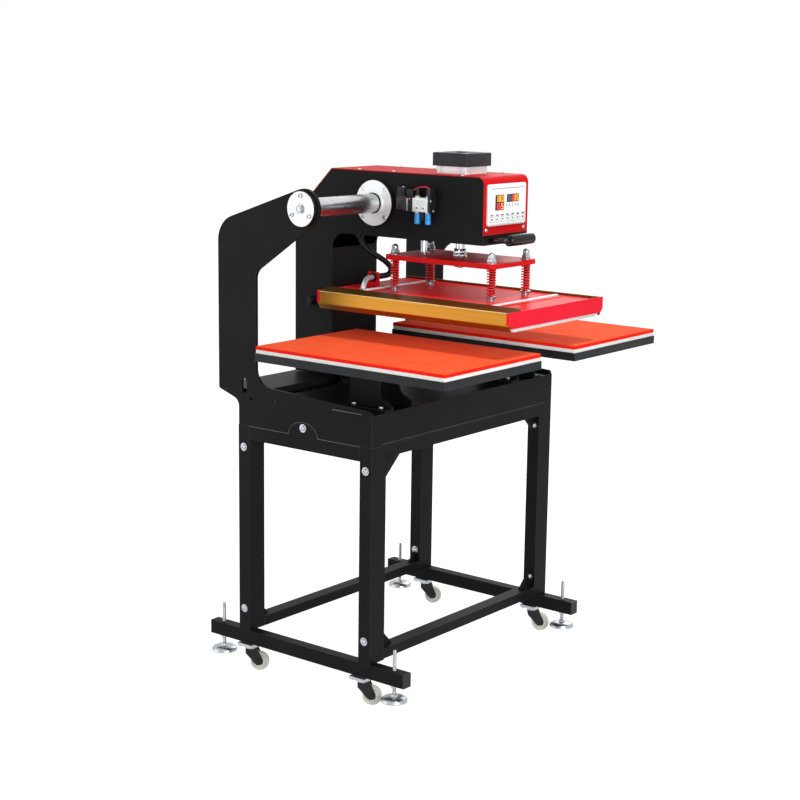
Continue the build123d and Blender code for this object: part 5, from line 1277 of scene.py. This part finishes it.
# %% Conduit
CONDUIT_ROUTE = [
    (-62.0, 188.0, 1174.0), (-62.0, 188.0, 1152.0), (-42.0, 168.0, 1122.0), (-10.0, 142.0, 1098.0),
    (8.0, 130.0, 1076.0), (-4.0, 129.0, 1059.0), (-32.0, 130.0, 1058.0), (-65.0, 130.0, 1058.0),
]
GLAND = (-62.0, 188.0)
CONDUIT_STEP, RIB_PITCH = 0.7, 4.2
line, conduit_length = even_path(smooth_path("conduit_line", CONDUIT_ROUTE), CONDUIT_STEP)
rib = 7.7 + 0.3 * np.cos(np.arange(len(line)) * CONDUIT_STEP * 2 * np.pi / RIB_PITCH)
conduit = piece("conduit", [tube(line, rib[:, None], 24)], conduit_black, None, 60)
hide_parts("power_conduit")
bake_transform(conduit)
print("conduit length", round(conduit_length, 1), "mm")

gland = [
    lathe([(13.5, 0), (13.5, 3.0), (12.9, 3.4)], (*GLAND, 1174.0), DOWN, 40),
    hexagon_nut((*GLAND, 1170.8), DOWN, 23.0, 6.0),
    lathe([(10.8, 0), (10.8, 3.6), (9.0, 6.6), (8.4, 6.8)], (*GLAND, 1164.8), DOWN, 40),
]
piece("conduit_gland", gland, plastic_black, "head")

# %% [markdown]
# ## Conduit bracket and braid
# The red bracket is a folded plate with a rubber ring. From the ring a tinned braid runs down
# into the cover. The braid's radius is the higher of two waves that wind in opposite ways.

# %% Bracket and braid
RING_Y, RING_Z = 130.0, 1058.0
bracket_face = rounded_outline(40.0, 40.0, 4.0)
bracket_place = (-71.5, RING_Y, COVER_TOP + 20.0)
bracket_plate = plate(bracket_face, soft_edge(3.0, 0.5), bracket_place, (0, 1, 0), (0, 0, 1))
bracket_foot = rounded_box((-70.0, 110.0, COVER_TOP), (-48.5, 150.0, COVER_TOP + 3.0), 0.8)
holder = piece("conduit_holder", [bracket_plate, bracket_foot], enamel_red, "heater")
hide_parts("conduit_bracket")
foot_screws = [
    button_head((-57.0, y, COVER_TOP + 3.0), UP, 4.4, 2.6, 1.6) for y in (118.0, 142.0)
]
piece("holder_screws", foot_screws, zinc_plate, "heater")
ring_profile = [(8.0, -10.0), (12.2, -10.0), (13.0, -9.2), (13.0, -7.4), (12.4, -6.8), (12.4, -3.2),
                (13.0, -2.6), (13.0, -0.8), (12.2, 0.0), (8.0, 0.0)]
grommet = lathe(ring_profile, (-65.0, RING_Y, RING_Z), (1, 0, 0), 48)
piece("conduit_grommet", [grommet], rubber_black, "heater")

BRAID_ROUTE = [(-73.0, 130.0, 1058.0), (-88.0, 130.0, 1058.5), (-106.0, 125.0, 1057.0),
               (-124.0, 116.0, 1051.0), (-137.0, 110.0, 1042.0), (-141.0, 108.0, 1031.5)]
BRAID_STEP, BRAID_PITCH, STRANDS = 0.6, 4.5, 12
line, braid_length = even_path(smooth_path("braid_line", BRAID_ROUTE), BRAID_STEP)
turns = np.linspace(0, 2 * np.pi, 64, endpoint=False)[None, :]
wound = np.arange(len(line))[:, None] * BRAID_STEP * 2 * np.pi / BRAID_PITCH
strands = [np.cos(STRANDS * turns + way * wound) for way in (-1, 1)]
braid = tube(line, 6.5 + 0.45 * np.maximum(*strands), 64)
piece("braided_sleeve", [braid], tinned_braid, "heater", 75)
collar = lathe([(9.5, 0), (9.5, 3.0), (8.6, 4.0), (6.4, 4.2)], (-141.0, 108.0, COVER_TOP), UP, 36)
piece("braid_collar", [collar], zinc_plate, "heater")
print("braid length", round(braid_length, 1), "mm")

# %% [markdown]
# ## Platen pads and boards
# Each platen is a folded steel tray, a white laminate board and a silicone foam pad. The foam is
# cut with a soft upper edge and sinks a little towards it, and its cut lower edge shows as a
# brighter line. The tray keeps its CAD shape.

# %% Platens
PLATEN_Y, PAD_FOOT, BOARD_FOOT = -120.0, 906.0, 895.0
pads, lips, boards = [], [], []
pad_edge = [(1.4, 0.8), (0.5, 1.2), (0.5, 6.2), (0.8, 7.0), (1.6, 7.4), (3.4, 7.5)]
lip_edge = [(0.6, -1.6), (0, -1.2), (0, 6.3), (0.7, 7.0)]
board_edge = [(0.6, 0), (0, 0.5), (0, 10.4), (0.6, 11.0)]
pad_outline, board_outline = rounded_outline(403, 603, 4.0), rounded_outline(402, 602, 4.0)
for x in (-STATION_X, STATION_X):
    pads.append(plate(pad_outline, pad_edge, (x, PLATEN_Y, PAD_FOOT)))
    lips.append(plate(pad_outline, lip_edge, (x, PLATEN_Y, PAD_FOOT)))
    boards.append(plate(board_outline, board_edge, (x, PLATEN_Y, BOARD_FOOT)))
pad_set = piece("foam_pads", pads, silicone_foam, "frame")
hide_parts("platen_pads")
piece("foam_lips", lips, silicone_lip, "frame")
board_set = piece("laminate_boards", boards, pressed_board, "frame")
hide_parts("platen_boards")
print("platens done")
